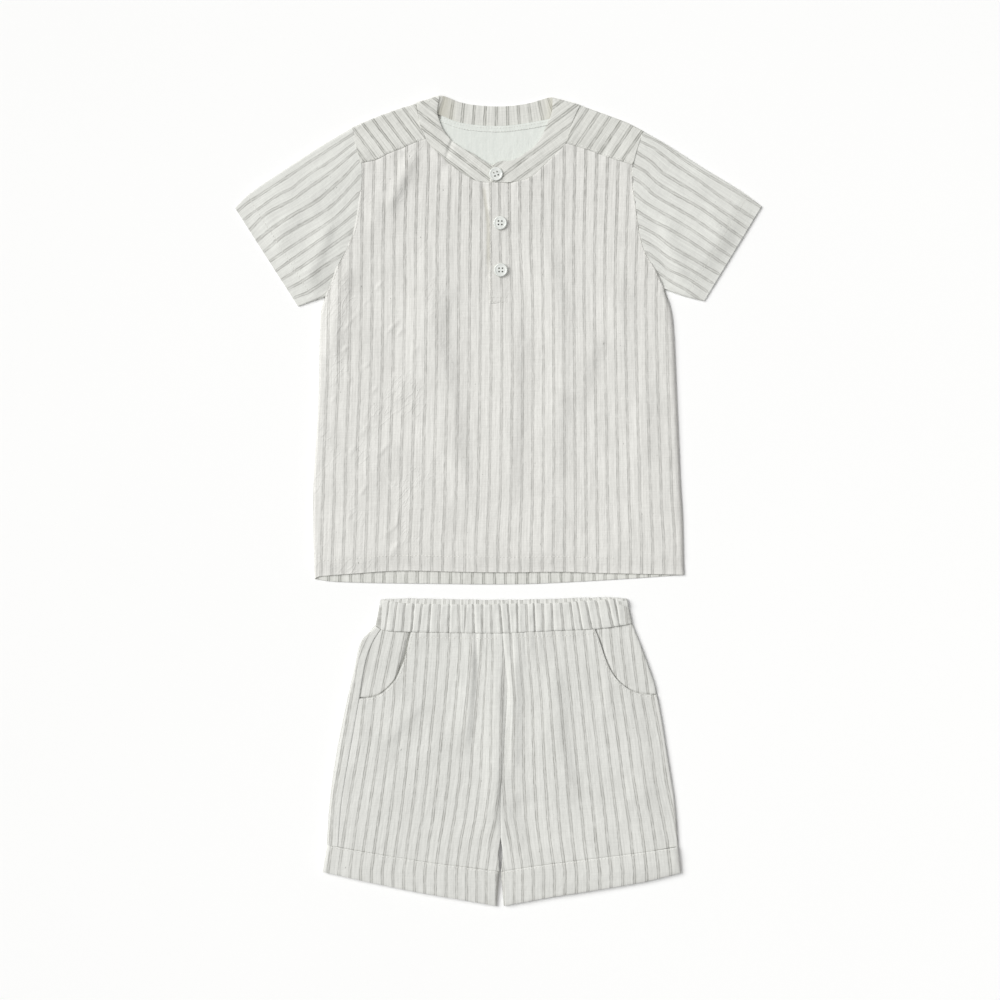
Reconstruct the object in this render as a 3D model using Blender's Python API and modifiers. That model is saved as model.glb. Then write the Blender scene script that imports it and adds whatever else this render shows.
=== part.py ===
# A child's summer set, laid flat: a short-sleeved shirt above and pull-on shorts below it.
# +X is to the right, +Y is up towards the collar, +Z is up off the surface the set lies on.
# The origin is on that surface, below the middle of the set. Sizes are in metres, tables in millimetres.
import math

import bpy
import bmesh
from mathutils import Matrix, Vector

MM = 0.001

# Cloth and seams, in millimetres
WALL = 1.2              # cloth of a panel
FACING_WALL = 1.0       # the plain cloth inside the neck and behind the pockets
BAND_WALL = 1.8         # turned-up cuffs: two layers of cloth
WAIST_WALL = 2.0        # waistband: two layers of cloth over elastic
SEAM_GAP = 0.3          # between two pieces that are sewn together
LAYER_GAP = 0.3         # between a piece and what it lies on
FOLD_CLEARANCE = 1.6    # the turned-over edge of the left back starts this much below the waistband
FOLD_MIDDLE = 0.4       # share of its width where that edge has its row of points
UPPER = WALL + LAYER_GAP    # underside of an upper layer that lies right on a back panel

# How far the upper layers stand off the lower ones, in millimetres
SHIRT_LOFT = 1.5
SHORTS_LOFT = 1.8
SLEEVE_HEIGHT = 4.2
CUFF_HEIGHT = 5.1
WAIST_HEIGHT = 4.9
SIDE_RAMP = 9.0         # the loft dies out over this distance from a side edge
SHORTS_RAMP = 6.0       # the same on the shorts
SLEEVE_EDGE_SHARE = 0.2     # a flattened tube rises to its height over this share of its width
WAIST_EDGE_SHARE = 0.083
CUFF_EDGE_SHARE = 0.1
BAND_MIDDLE = 3.6       # middle of the collar band where it lies on the front
BAND_STEP = WALL + LAYER_GAP    # the band's right end lies on its left end

# Steps of the meshes
FINE_CUTS = 12          # steps for each stretch of a curve that is only measured
YOKE_CUTS = 6
POCKET_CUTS = 3
PANEL_CUTS = 2          # steps for each stretch of a panel's edge
FRONT_LAYER_STEPS = 3   # rows of a waistband, a cuff, a placket or a neck strip
SLEEVE_STEPS = 6
PLACKET_STEPS = 12
WAIST_BACK_STEPS = 24
BACK_LEG_STEPS = 8
POCKET_STEPS = 6
CUFF_STEPS = 12
TURN_DEGREES = (-90, -45, 0, 45, 90)    # round the edge of a folded layer, from below to above
SMOOTH_ANGLE = 50       # edges that turn more than this many degrees stay sharp
MITRE_LIMIT = 0.5

# Seams and edges of the shirt: x, y
ARMHOLE_LEFT = [(-125, 317), (-121.5, 301), (-117.5, 286.5), (-117, 270.5), (-119.5, 252.5),
                (-122.5, 233), (-129, 215.5), (-137, 200), (-143, 184.5), (-148, 173)]
ARMHOLE_RIGHT = [(123, 314), (117.5, 298.5), (114, 285), (114, 272), (115.5, 259.5),
                 (117.5, 245), (120, 228), (124, 212.5), (132.5, 197.5), (141, 179.5)]
YOKE_ROWS = 2           # the first steps of an armhole belong to the yoke
SLEEVE_TOP_LEFT = [(-125, 317), (-152, 301), (-175, 286), (-200, 269.5), (-215, 258.5), (-224.5, 248.5)]
SLEEVE_TOP_RIGHT = [(123, 314), (143.5, 302), (174, 282.5), (205, 263.5), (223.5, 250)]
SLEEVE_UNDER_LEFT = [(-148, 173), (-157, 170), (-171, 165)]
SLEEVE_UNDER_RIGHT = [(141, 179.5), (158, 173.5), (174.5, 169.5)]
SIDE_LEFT = [(-148, 173), (-152, 153), (-153.5, 85), (-157.5, 17), (-158, -17), (-157, -66)]
SIDE_RIGHT = [(141, 179.5), (148, 153), (151.5, 85), (154.5, 17), (156.5, -17), (157.5, -63.5)]
# The hems between the side edges
FRONT_HEM = [(-122.5, -62.5), (-84, -60), (-34, -61), (8.5, -61.5), (51, -61), (86, -62)]
BACK_HEM = [(-135, -69.5), (-101, -70.5), (-55, -71), (-13, -71.5), (30, -71), (72, -69), (114, -66.5)]
SHOULDER_LEFT = [(-125, 317), (-111.5, 323), (-91, 331), (-70.5, 337.5)]
SHOULDER_RIGHT = [(69, 336), (92.5, 327.5), (109.5, 321), (123, 314)]
YOKE_SEAM_LEFT = [(-117.5, 286.5), (-104, 289.5), (-94.5, 294.5), (-84, 298.5), (-74, 303), (-62, 307)]
YOKE_SEAM_RIGHT = [(57, 303.5), (67, 300.5), (78, 297), (88.5, 293), (99.5, 289.5), (114, 285)]
YOKE_NECK_LEFT = [(-70.5, 337.5), (-67, 319), (-62, 307)]
YOKE_NECK_RIGHT = [(69, 336), (63, 322.5), (57, 303.5)]
NECKLINE = [(-62, 307), (-57, 300.5), (-50, 293.5), (-40, 284), (-30, 277.5), (-20.5, 272), (-9.5, 270),
            (1, 270), (9.5, 270), (18.5, 271.5), (28, 275), (37, 283.5), (46, 292), (57, 303.5)]
BACK_NECK = [(-72.5, 336.7), (-70.3, 332.3), (-60.5, 330.6), (-48.5, 326.3), (-35, 321), (-20.5, 318.5),
             (1, 317.5), (20.5, 319.5), (35, 322), (45, 324), (57, 328.8), (68.6, 331.5), (71, 335.2)]

# Collar band, from its right end round the neck to its left end:
# seam x, seam y, free edge x, free edge y
BAND_RIGHT = [(-8, 270, -5, 285), (1, 270, 2, 288), (9.5, 270, 10, 288.3), (18.5, 271.5, 17.5, 291.5),
              (28, 275, 23, 295.5), (37, 283.5, 30, 300.5), (46, 292, 36, 308.5),
              (57, 303.5, 41, 319.5), (63, 322.5, 45, 330)]
BAND_FOLD_RIGHT = (69, 336, 46, 342.5)
BAND_BACK = [(57, 329.3, 44.5, 342.6), (45, 324.3, 40, 342), (35, 322.3, 32, 339.5), (20.5, 319.8, 19, 336.5),
             (1, 317.8, 1, 335), (-20.5, 318.8, -19, 336), (-35, 321.3, -33, 338.5),
             (-48.5, 326.7, -45, 343), (-60.5, 331.2, -49.5, 343.8)]
BAND_FOLD_LEFT = (-70.5, 337.5, -51, 344)
BAND_LEFT = [(-67, 319, -52.5, 330), (-62, 307, -49, 318), (-57, 300.5, -45, 311.5),
             (-50, 293.5, -40, 305.5), (-40, 284, -31, 299), (-30, 277.5, -21.5, 294),
             (-20.5, 272, -12.5, 288), (-9.5, 270, -5, 284.5), (1, 270, 1, 283)]
BAND_OVERLAP = 9.0      # the raised end of the band reaches this x
BAND_RAMP = 12.0        # and comes down over this distance

# Neck tape and facing: x, then the upper and the lower edge's y
NECK_TAPE = [(-49, 325.8, 321.6), (-35, 320.4, 316.4), (-20.5, 317.9, 313.9), (1, 316.9, 312.9),
             (20.5, 318.9, 314.9), (35, 321.4, 317.4), (46, 323.6, 319.6)]
NECK_FACING = [(-51, 321.9, 317), (-43, 318.7, 300), (-33, 315.4, 293.5), (-20, 313.5, 286.5),
               (-8, 312.8, 282), (6, 312.8, 282), (20, 314.5, 287), (30, 316.2, 295), (38, 317.7, 305),
               (47, 319.4, 316)]

PLACKET_WIDTH = 17.0
PLACKET_CENTRE_X = 0.5
PLACKET_TOP_Y = 270.0
PLACKET_BOTTOM_Y = 167.0
BUTTON_RADIUS = 5.8
BUTTON_HEIGHT = 2.2
BUTTON_RIM = 1.1
BUTTON_DISH = 0.5
BUTTON_EDGE = 0.45
BUTTON_SIDES = 24
BUTTON_HOLE_SIDES = 8
BUTTON_HOLES = 4
BUTTON_SEAT_DEGREES = 30    # the seat is measured this often round the button
BUTTON_HOLE_RADIUS = 0.75
BUTTON_HOLE_OFFSET = 1.35
BUTTONS = [(-2.5, 277, 20), (1, 235.5, 0), (1.5, 195.5, 0)]     # x, y, turn in degrees

# Seams and edges of the shorts: x, y
WAIST_TOP_FRONT = [(-100.5, -84.5), (-84, -87), (-55, -88.5), (1, -88.5), (44, -87.5), (87.5, -85),
                   (109, -83.5)]
WAIST_TOP_BACK = [(-100.5, -84.5), (-74, -83.7), (1, -85), (44, -84), (87.5, -82.8), (109, -83.5)]
WAIST_BOTTOM = [(-105, -107), (-95, -111), (-48.5, -112.5), (3, -113), (32.5, -111.5), (81, -109.5),
                (104.5, -106.5), (113.5, -105)]
OUTSIDE_LEFT = [(-105, -107), (-117.5, -122), (-123, -146), (-129, -171.5), (-137.5, -214),
                (-143.5, -256.5), (-146, -293)]
OUTSIDE_RIGHT = [(113.5, -105), (123, -129), (132, -154.5), (137.5, -180), (143, -214),
                 (149.5, -256.5), (152.5, -294.5)]
SIDE_SEAM_LEFT = [(-101, -109.5), (-107, -119), (-112, -131), (-115.5, -146), (-119, -168.5),
                  (-127, -214), (-134, -256.5), (-137, -294.5)]
CENTRE_SEAM = [(3, -113), (6, -148.5), (7, -161.5), (4.5, -206.5), (1.5, -255), (1.5, -287)]
INSEAM_LEFT = [(1.5, -287), (-0.3, -301), (0.5, -315.5)]
INSEAM_RIGHT = [(1.5, -287), (3, -301), (1.6, -315.5)]
CUFF_TOP_LEFT = [(-146, -293), (-106, -300), (-59.5, -307.5), (-24.5, -312), (0.5, -315.5)]
CUFF_TOP_RIGHT = [(1.6, -315.5), (32.5, -310.5), (87.5, -303.5), (122.5, -299), (152.5, -294.5)]
CUFF_BOTTOM_LEFT = [(-150, -316), (-111.5, -324.5), (-70.5, -333), (-30, -340), (-2, -345)]
CUFF_BOTTOM_RIGHT = [(4, -345), (41.5, -338), (82.5, -331.5), (123, -324.5), (155, -316.5)]
# Pocket openings: x, y, how far the facing reaches on under the front
POCKET_LEFT = [(-74.5, -111, 6), (-76.5, -119, 6), (-79.5, -132.5, 6), (-83, -141.5, 6), (-88.5, -153, 5),
               (-97, -162, 3), (-105.5, -167, 1), (-119, -168.5, -0.4)]
POCKET_RIGHT = [(81.5, -109.5, 6), (86, -121.5, 6), (91, -136.5, 6), (98, -149.5, 6), (106.5, -158, 4.5),
                (115.5, -163, 2.5), (124, -165, 1), (134, -165.5, -0.4)]
POCKET_CORNER = 4       # the row of a pocket where its facing turns from its side to its foot
POCKET_SIDE_LEFT = SIDE_SEAM_LEFT[:5]       # the side seams down to the foot of the pockets
POCKET_SIDE_RIGHT = OUTSIDE_RIGHT[:4]
POCKET_SIDE_CLEARANCE = 3
# What is cut away of the fronts outside the pocket openings
POCKET_CUT_LEFT_X = -140
POCKET_CUT_RIGHT_X = 155
POCKET_CUT_ABOVE = 12
POCKET_CUT_BELOW = -5
POCKET_CUT_HEIGHT = 20

# Gathers
WAIST_GATHERS = 22
WAIST_GATHER_HEIGHT = 0.8
WAIST_GATHER_POINTS = 4     # points across one gather of the band
LEG_GATHERS = 11            # on each front leg
LEG_GATHER_HEIGHT = 0.7
LEG_GATHER_POINTS = 3
LEG_GATHER_REACHES = (16, 34, 22, 40, 28)       # how far down each gather reaches, over and over
LEG_GATHER_TOP_Y = -110

# Soft folds: x, y, direction in degrees from +X, length, width, height
SHIRT_FOLDS = [(-17, 225, 92, 90, 5, 0.7), (-112, 120, 62, 120, 9, 1.1), (-90, 50, 66, 130, 10, 0.8),
               (-130, 10, 76, 110, 8, 0.8), (112, 150, 112, 110, 10, 1.0), (96, 40, 100, 140, 11, 0.8),
               (-62, -32, 88, 70, 12, 0.8), (42, -28, 90, 80, 14, 0.9), (104, -30, 96, 60, 10, 0.7),
               (-118, 196, 30, 56, 7, 0.9), (112, 200, 148, 56, 7, 0.9)]
SLEEVE_FOLDS = [(-150, 215, 60, 80, 9, 0.7), (-196, 225, 48, 60, 8, 0.6), (146, 218, 118, 80, 9, 0.7),
                (192, 226, 130, 60, 8, 0.6)]
SHORTS_FOLDS = [(-18.5, -150, 92, 70, 4, 0.9), (13, -170, 86, 120, 5, 0.9), (-24, -276, 70, 90, 9, 1.0),
                (28, -280, 108, 90, 9, 1.0), (-92, -240, 78, 110, 11, 0.8), (98, -236, 102, 110, 11, 0.8)]

CREAM = (0.71, 0.70, 0.66)
WHITE = (0.76, 0.77, 0.74)
BUTTON_WHITE = (0.74, 0.76, 0.72)
CLOTH_ROUGHNESS = 0.9
BUTTON_ROUGHNESS = 0.35


def clear_scene():
    for item in list(bpy.data.objects):
        bpy.data.objects.remove(item)


def new_collection(name):
    made = bpy.data.collections.new(name)
    bpy.context.scene.collection.children.link(made)
    return made


def smoothstep(value):
    value = min(1.0, max(0.0, value))
    return value * value * (3 - 2 * value)


def smooth_line(points, cuts):
    """The points of a curve through the given points, with each stretch in that many steps."""
    line = [Vector(p) for p in points]
    made = []
    for i in range(len(line) - 1):
        before = line[i - 1] if i else 2 * line[i] - line[i + 1]
        after = line[i + 2] if i + 2 < len(line) else 2 * line[i + 1] - line[i]
        for k in range(cuts):
            t = k / cuts
            made.append(0.5 * (2 * line[i] + (line[i + 1] - before) * t
                               + (2 * before - 5 * line[i] + 4 * line[i + 1] - after) * t ** 2
                               + (3 * line[i] - before - 3 * line[i + 1] + after) * t ** 3))
    return made + [line[-1]]


def shares(points):
    """How far along its line each point is, from 0 to 1."""
    run = [0.0]
    for a, b in zip(points, points[1:]):
        run.append(run[-1] + (Vector(b) - Vector(a)).length)
    return [r / run[-1] for r in run]


def spread(points, wanted):
    """Points of the smooth curve through the given points, at the wanted shares of its length."""
    fine = smooth_line(points, FINE_CUTS)
    along = shares(fine)
    made = []
    k = 0
    for share in wanted:
        while k < len(fine) - 2 and along[k + 1] < share:
            k += 1
        part = (share - along[k]) / (along[k + 1] - along[k])
        made.append(fine[k].lerp(fine[k + 1], min(1.0, max(0.0, part))))
    return made


def even(count):
    return [i / count for i in range(count + 1)]


def patch(bottom, top, left, right):
    """Rows of points between four edges that meet at their ends, with each edge kept exactly."""
    bottom, top, left, right = ([Vector(p) for p in edge] for edge in (bottom, top, left, right))
    across = [(a + b) / 2 for a, b in zip(shares(bottom), shares(top))]
    up = [(a + b) / 2 for a, b in zip(shares(left), shares(right))]
    rows = []
    for j, v in enumerate(up):
        row = []
        for i, u in enumerate(across):
            corners = ((1 - u) * (1 - v) * bottom[0] + u * (1 - v) * bottom[-1]
                       + (1 - u) * v * top[0] + u * v * top[-1])
            row.append((1 - v) * bottom[i] + v * top[i] + (1 - u) * left[j] + u * right[j] - corners)
        rows.append(row)
    return rows


def draw_in(rows, amount):
    """Moves the outer points of a patch inwards, so that it stays clear of its neighbours."""
    last_row, last = len(rows) - 1, len(rows[0]) - 1
    ring = [(0, i) for i in range(last)] + [(j, last) for j in range(last_row)]
    ring += [(last_row, i) for i in range(last, 0, -1)] + [(j, 0) for j in range(last_row, 0, -1)]
    outline = [rows[j][i].copy() for j, i in ring]
    area = sum(a.x * b.y - a.y * b.x for a, b in zip(outline, outline[1:] + outline[:1]))
    turn = 1 if area > 0 else -1
    for n, (j, i) in enumerate(ring):
        before = (outline[n] - outline[n - 1]).normalized()
        after = (outline[(n + 1) % len(outline)] - outline[n]).normalized()
        inward = turn * (Vector((-before.y, before.x)) + Vector((-after.y, after.x)))
        rows[j][i] = outline[n] + inward * (2 * amount / max(inward.length_squared, MITRE_LIMIT))
    return rows


def fold_height(folds, x, y):
    """Height of the soft folds at a place: a ridge that is round across and dies out at its ends."""
    height = 0.0
    for fold_x, fold_y, direction, length, width, fold in folds:
        angle = math.radians(direction)
        along = (x - fold_x) * math.cos(angle) + (y - fold_y) * math.sin(angle)
        aside = (y - fold_y) * math.cos(angle) - (x - fold_x) * math.sin(angle)
        fade = smoothstep(2 - 2 * abs(along) / (length / 2)) if abs(along) < length / 2 else 0.0
        height += fold * fade * math.exp(-(aside / width) ** 2)
    return height


def cloth_material(name, colour, roughness):
    made = bpy.data.materials.new(name + "_finish")
    made.use_nodes = True
    shader = made.node_tree.nodes["Principled BSDF"]
    shader.inputs["Base Color"].default_value = (*colour, 1)
    shader.inputs["Roughness"].default_value = roughness
    shader.inputs["Metallic"].default_value = 0
    return made


def finish_object(name, bm, colour=CREAM, roughness=CLOTH_ROUGHNESS):
    """Turns a mesh drawn in millimetres into a named object in metres, with its own material."""
    bmesh.ops.recalc_face_normals(bm, faces=bm.faces)
    bmesh.ops.scale(bm, vec=(MM, MM, MM), verts=bm.verts)
    mesh = bpy.data.meshes.new(name)
    bm.to_mesh(mesh)
    bm.free()
    mesh.shade_smooth()
    mesh.set_sharp_from_angle(angle=math.radians(SMOOTH_ANGLE))
    made = bpy.data.objects.new(name, mesh)
    made.data.materials.append(cloth_material(name, colour, roughness))
    parts.objects.link(made)
    return made


def panel(name, rows, underside, wall=WALL, relief=None, colour=CREAM):
    """A piece of cloth over a patch: a grid laid on underside(x, y), raised by the wall and any relief."""
    draw_in(rows, SEAM_GAP / 2)
    down, across = len(rows) - 1, len(rows[0]) - 1
    bm = bmesh.new()
    bmesh.ops.create_grid(bm, x_segments=across, y_segments=down, size=1)
    lift = {}
    for vert in bm.verts:
        u, v = (vert.co.x + 1) / 2, (vert.co.y + 1) / 2
        place = rows[round(v * down)][round(u * across)]
        vert.co = (place.x, place.y, underside(place.x, place.y))
        lift[vert] = wall + (relief(place.x, place.y, u, v) if relief else 0.0)
    lower = list(bm.verts)
    heights = {(round(v.co.x, 4), round(v.co.y, 4)): lift[v] for v in lower}
    made = bmesh.ops.extrude_face_region(bm, geom=bm.faces[:])
    for vert in (g for g in made["geom"] if isinstance(g, bmesh.types.BMVert)):
        vert.co.z += heights[(round(vert.co.x, 4), round(vert.co.y, 4))]
    return finish_object(name, bm, colour)


def rim_points(edge, inward, wall, height):
    """The rounded edge of a flattened tube: pairs of outer and inner points, from its foot up."""
    radius = height / 2
    pairs = []
    for degrees in TURN_DEGREES:
        angle = math.radians(degrees)
        pair = []
        for reach in (radius, radius - wall):
            flat = edge + inward * (radius - reach * math.cos(angle))
            pair.append(Vector((flat.x, flat.y, radius + reach * math.sin(angle))))
        pairs.append(pair)
    return pairs


def flat_tube(name, sections, wall, edge_gap, top_height):
    """A tube of cloth lying flat. Each section has its upper and its lower line of points, which share
    both ends. top_height(section, share across, x, y) is how high the upper layer's outside stands."""
    bm = bmesh.new()
    loops = []
    edge_height = 2 * wall + edge_gap
    for s, (upper, lower) in enumerate(sections):
        first, last = upper[0], upper[-1]
        start = rim_points(first, (upper[1] - first).normalized(), wall, edge_height)
        end = rim_points(last, (upper[-2] - last).normalized(), wall, edge_height)
        pairs = list(start)
        for i, point in enumerate(upper[1:-1], 1):
            height = top_height(s, i / (len(upper) - 1), point.x, point.y)
            inside = min(height - wall, top_height(s, None, point.x, point.y) - wall)
            pairs.append([Vector((point.x, point.y, height)), Vector((point.x, point.y, inside))])
        pairs += end[::-1]
        for point in lower[-2:0:-1]:
            pairs.append([Vector((point.x, point.y, 0)), Vector((point.x, point.y, wall))])
        loops.append([(bm.verts.new(outer), bm.verts.new(inner)) for outer, inner in pairs])
    count = len(loops[0])
    for near, far in zip(loops, loops[1:]):
        for k in range(count):
            n = (k + 1) % count
            bm.faces.new((near[k][0], near[n][0], far[n][0], far[k][0]))
            bm.faces.new((near[k][1], far[k][1], far[n][1], near[n][1]))
    for loop in (loops[0], loops[-1]):
        for k in range(count):
            n = (k + 1) % count
            bm.faces.new((loop[k][0], loop[k][1], loop[n][1], loop[n][0]))
    return finish_object(name, bm)


def side_distance(line, x, y):
    """How far a place is from a side line, measured level across."""
    for (x1, y1), (x2, y2) in zip(line, line[1:]):
        if y2 <= y <= y1:
            return abs(x - (x1 + (x2 - x1) * (y1 - y) / (y1 - y2)))
    nearest = line[0] if y > line[0][1] else line[-1]
    return abs(x - nearest[0]) + abs(y - nearest[1])


def front_underside(x, y):
    nearest = min(side_distance(SIDE_LEFT, x, y), side_distance(SIDE_RIGHT, x, y))
    rise = smoothstep(nearest / SIDE_RAMP)
    return UPPER + SHIRT_LOFT * rise + rise * fold_height(SHIRT_FOLDS, x, y)


def front_top(x, y):
    return front_underside(x, y) + WALL


def on_surface(x, y):
    return 0.0


def on_back(x, y):
    return UPPER


def make_shirt_back():
    top = SHOULDER_LEFT[:-1] + BACK_NECK + SHOULDER_RIGHT[1:]
    left = SIDE_LEFT[::-1] + ARMHOLE_LEFT[-2::-1]
    right = SIDE_RIGHT[::-1] + ARMHOLE_RIGHT[-2::-1]
    hem = [SIDE_LEFT[-1]] + BACK_HEM + [SIDE_RIGHT[-1]]
    panel("shirt_back", patch(spread(hem, shares(top)), top, left, right), on_surface)


def make_shirt_front():
    top = (smooth_line(YOKE_SEAM_LEFT, PANEL_CUTS) + [Vector(p) for p in NECKLINE[1:-1]]
           + smooth_line(YOKE_SEAM_RIGHT, PANEL_CUTS))
    left = smooth_line(SIDE_LEFT[::-1], PANEL_CUTS)
    left += [Vector(p) for p in ARMHOLE_LEFT[-2:YOKE_ROWS - 1:-1]]
    right = smooth_line(SIDE_RIGHT[::-1], PANEL_CUTS)
    right += [Vector(p) for p in ARMHOLE_RIGHT[-2:YOKE_ROWS - 1:-1]]
    hem = [SIDE_LEFT[-1]] + FRONT_HEM + [SIDE_RIGHT[-1]]
    panel("shirt_front", patch(spread(hem, shares(top)), top, left, right), front_underside)


def make_yokes():
    for name, seam, shoulder, armhole, neck in (
            ("yoke_left", YOKE_SEAM_LEFT, SHOULDER_LEFT, ARMHOLE_LEFT, YOKE_NECK_LEFT),
            ("yoke_right", YOKE_SEAM_RIGHT, SHOULDER_RIGHT, ARMHOLE_RIGHT, YOKE_NECK_RIGHT)):
        outer = armhole[YOKE_ROWS::-1]
        inner = neck[::-1]
        sides = (outer, inner) if name == "yoke_left" else (inner, outer)
        lower = smooth_line(seam, PANEL_CUTS)

        def underside(x, y, shoulder=shoulder):
            near = min((Vector((x, y)) - p).length for p in smooth_line(shoulder, YOKE_CUTS))
            return UPPER + SHIRT_LOFT * smoothstep(near / SIDE_RAMP)

        panel(name, patch(lower, spread(shoulder, shares(lower)), *sides), underside)


def make_sleeves():
    for name, armhole, top, under in (
            ("sleeve_left", ARMHOLE_LEFT, SLEEVE_TOP_LEFT, SLEEVE_UNDER_LEFT),
            ("sleeve_right", ARMHOLE_RIGHT, SLEEVE_TOP_RIGHT, SLEEVE_UNDER_RIGHT)):
        steps = even(SLEEVE_STEPS)
        hem = [Vector(top[-1]).lerp(Vector(under[-1]), share) for share in shares(armhole)]
        rows = patch(armhole, hem, spread(top, steps), spread(under, steps))
        draw_in(rows, SEAM_GAP / 2)

        def height(section, share, x, y):
            middle = 1.0 if share is None else smoothstep(min(share, 1 - share) / SLEEVE_EDGE_SHARE)
            lowest = 2 * WALL + LAYER_GAP
            full = lowest + (SLEEVE_HEIGHT - lowest) * middle
            return full + fold_height(SLEEVE_FOLDS, x, y) * middle

        flat_tube(name, [(row, row) for row in rows], WALL, LAYER_GAP, height)


def fold_stations(fold):
    """Where the collar band turns over at the shoulder: from its upper layer round to its lower one."""
    seam, free = Vector(fold[:2]), Vector(fold[2:])
    along = (free - seam).normalized()
    inward = Vector((along.y, -along.x)) * (1 if along.x > 0 else -1)
    radius = (BAND_MIDDLE - WALL / 2) / 2
    made = []
    for degrees in TURN_DEGREES[::-1]:
        angle = math.radians(degrees)
        shift = inward * (radius + WALL / 2 - radius * math.cos(angle))
        height = WALL / 2 + radius + radius * math.sin(angle)
        made.append((seam + shift + along * SEAM_GAP / 2, free + shift, height))
    return made


def make_collar():
    """The band is one strip: right end, fold at the shoulder, back, other fold, left end."""
    stations = []
    for seam_x, seam_y, free_x, free_y in BAND_RIGHT:
        over = smoothstep(1 - (seam_x - BAND_OVERLAP) / BAND_RAMP)
        stations.append((Vector((seam_x, seam_y)), Vector((free_x, free_y)), BAND_MIDDLE + BAND_STEP * over))
    stations += fold_stations(BAND_FOLD_RIGHT)
    for seam_x, seam_y, free_x, free_y in BAND_BACK:
        stations.append((Vector((seam_x, seam_y)), Vector((free_x, free_y)), WALL / 2))
    stations += fold_stations(BAND_FOLD_LEFT)[::-1]
    for seam_x, seam_y, free_x, free_y in BAND_LEFT:
        stations.append((Vector((seam_x, seam_y)), Vector((free_x, free_y)), BAND_MIDDLE))
    across = (0, 0.5, 1)
    bm = bmesh.new()
    bmesh.ops.create_grid(bm, x_segments=len(stations) - 1, y_segments=len(across) - 1, size=1)
    for vert in bm.verts:
        seam, free, height = stations[round((vert.co.x + 1) / 2 * (len(stations) - 1))]
        share = across[round((vert.co.y + 1) / 2 * (len(across) - 1))]
        clear = (free - seam).normalized() * (SEAM_GAP / 2)
        flat = (seam + clear).lerp(free, share)
        vert.co = (flat.x, flat.y, height)
    made = finish_object("collar", bm)
    wall = made.modifiers.new("cloth", "SOLIDIFY")
    wall.thickness = WALL * MM
    wall.offset = 0
    wall.use_even_offset = True


def strip_rows(table):
    """A patch from a table of x, upper y and lower y."""
    upper = smooth_line([(x, high) for x, high, low in table], PANEL_CUTS)
    lower = smooth_line([(x, low) for x, high, low in table], PANEL_CUTS)
    left = [lower[0].lerp(upper[0], share) for share in even(FRONT_LAYER_STEPS)]
    right = [lower[-1].lerp(upper[-1], share) for share in even(FRONT_LAYER_STEPS)]
    return patch(lower, upper, left, right)


def make_neck_pieces():
    panel("neck_tape", strip_rows(NECK_TAPE), on_back, FACING_WALL, colour=WHITE)
    panel("neck_facing", strip_rows(NECK_FACING), on_back, FACING_WALL, colour=WHITE)


def on_front(x, y):
    return front_top(x, y) + LAYER_GAP


def make_placket():
    low_x = PLACKET_CENTRE_X - PLACKET_WIDTH / 2
    high_x = PLACKET_CENTRE_X + PLACKET_WIDTH / 2
    across, up = even(FRONT_LAYER_STEPS), even(PLACKET_STEPS)
    bottom = [(low_x + PLACKET_WIDTH * u, PLACKET_BOTTOM_Y) for u in across]
    top = [(low_x + PLACKET_WIDTH * u, PLACKET_TOP_Y) for u in across]
    length = PLACKET_TOP_Y - PLACKET_BOTTOM_Y
    left = [(low_x, PLACKET_BOTTOM_Y + length * v) for v in up]
    right = [(high_x, PLACKET_BOTTOM_Y + length * v) for v in up]
    panel("placket", patch(bottom, top, left, right), on_front)


def make_buttons():
    for number, (x, y, turn) in enumerate(BUTTONS, 1):
        around = [(x + BUTTON_RADIUS * math.cos(a), y + BUTTON_RADIUS * math.sin(a))
                  for a in (math.radians(d) for d in range(0, 360, BUTTON_SEAT_DEGREES))]
        seat = max(on_front(px, py) for px, py in around) + WALL + LAYER_GAP
        if y > PLACKET_TOP_Y:
            seat = BAND_MIDDLE + BAND_STEP + WALL / 2 + LAYER_GAP
        bm = bmesh.new()
        bmesh.ops.create_cone(bm, cap_ends=True, segments=BUTTON_SIDES, radius1=BUTTON_RADIUS,
                              radius2=BUTTON_RADIUS, depth=BUTTON_HEIGHT)
        flats = [f for f in bm.faces if len(f.verts) > 4]
        outer = [e for f in flats for e in f.edges]
        bmesh.ops.bevel(bm, geom=outer, offset=BUTTON_EDGE, segments=2, profile=0.5, affect="EDGES")
        top = max(bm.faces, key=lambda f: f.calc_center_median().z)
        bmesh.ops.inset_region(bm, faces=[top], thickness=BUTTON_RIM)
        bmesh.ops.inset_region(bm, faces=[top], thickness=BUTTON_DISH, depth=-BUTTON_DISH)
        turned = Matrix.Rotation(math.radians(turn), 3, "Z")
        bmesh.ops.rotate(bm, cent=(0, 0, 0), verts=bm.verts, matrix=turned)
        bmesh.ops.translate(bm, verts=bm.verts, vec=(x, y, seat + BUTTON_HEIGHT / 2))
        button = finish_object(f"button_{number}", bm, BUTTON_WHITE, BUTTON_ROUGHNESS)
        cut_button_holes(button, number, x, y, turn, seat + BUTTON_HEIGHT / 2)


def cut_button_holes(button, number, x, y, turn, z):
    for hole in range(BUTTON_HOLES):
        angle = math.radians((hole + 0.5) * 360 / BUTTON_HOLES + turn)
        reach = BUTTON_HOLE_OFFSET * math.sqrt(2)
        bm = bmesh.new()
        bmesh.ops.create_cone(bm, cap_ends=True, segments=BUTTON_HOLE_SIDES, radius1=BUTTON_HOLE_RADIUS,
                              radius2=BUTTON_HOLE_RADIUS, depth=2 * BUTTON_HEIGHT)
        bmesh.ops.translate(bm, verts=bm.verts,
                            vec=(x + reach * math.cos(angle), y + reach * math.sin(angle), z))
        cut_away(button, bm, f"button_{number}_hole_{hole + 1}")


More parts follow.
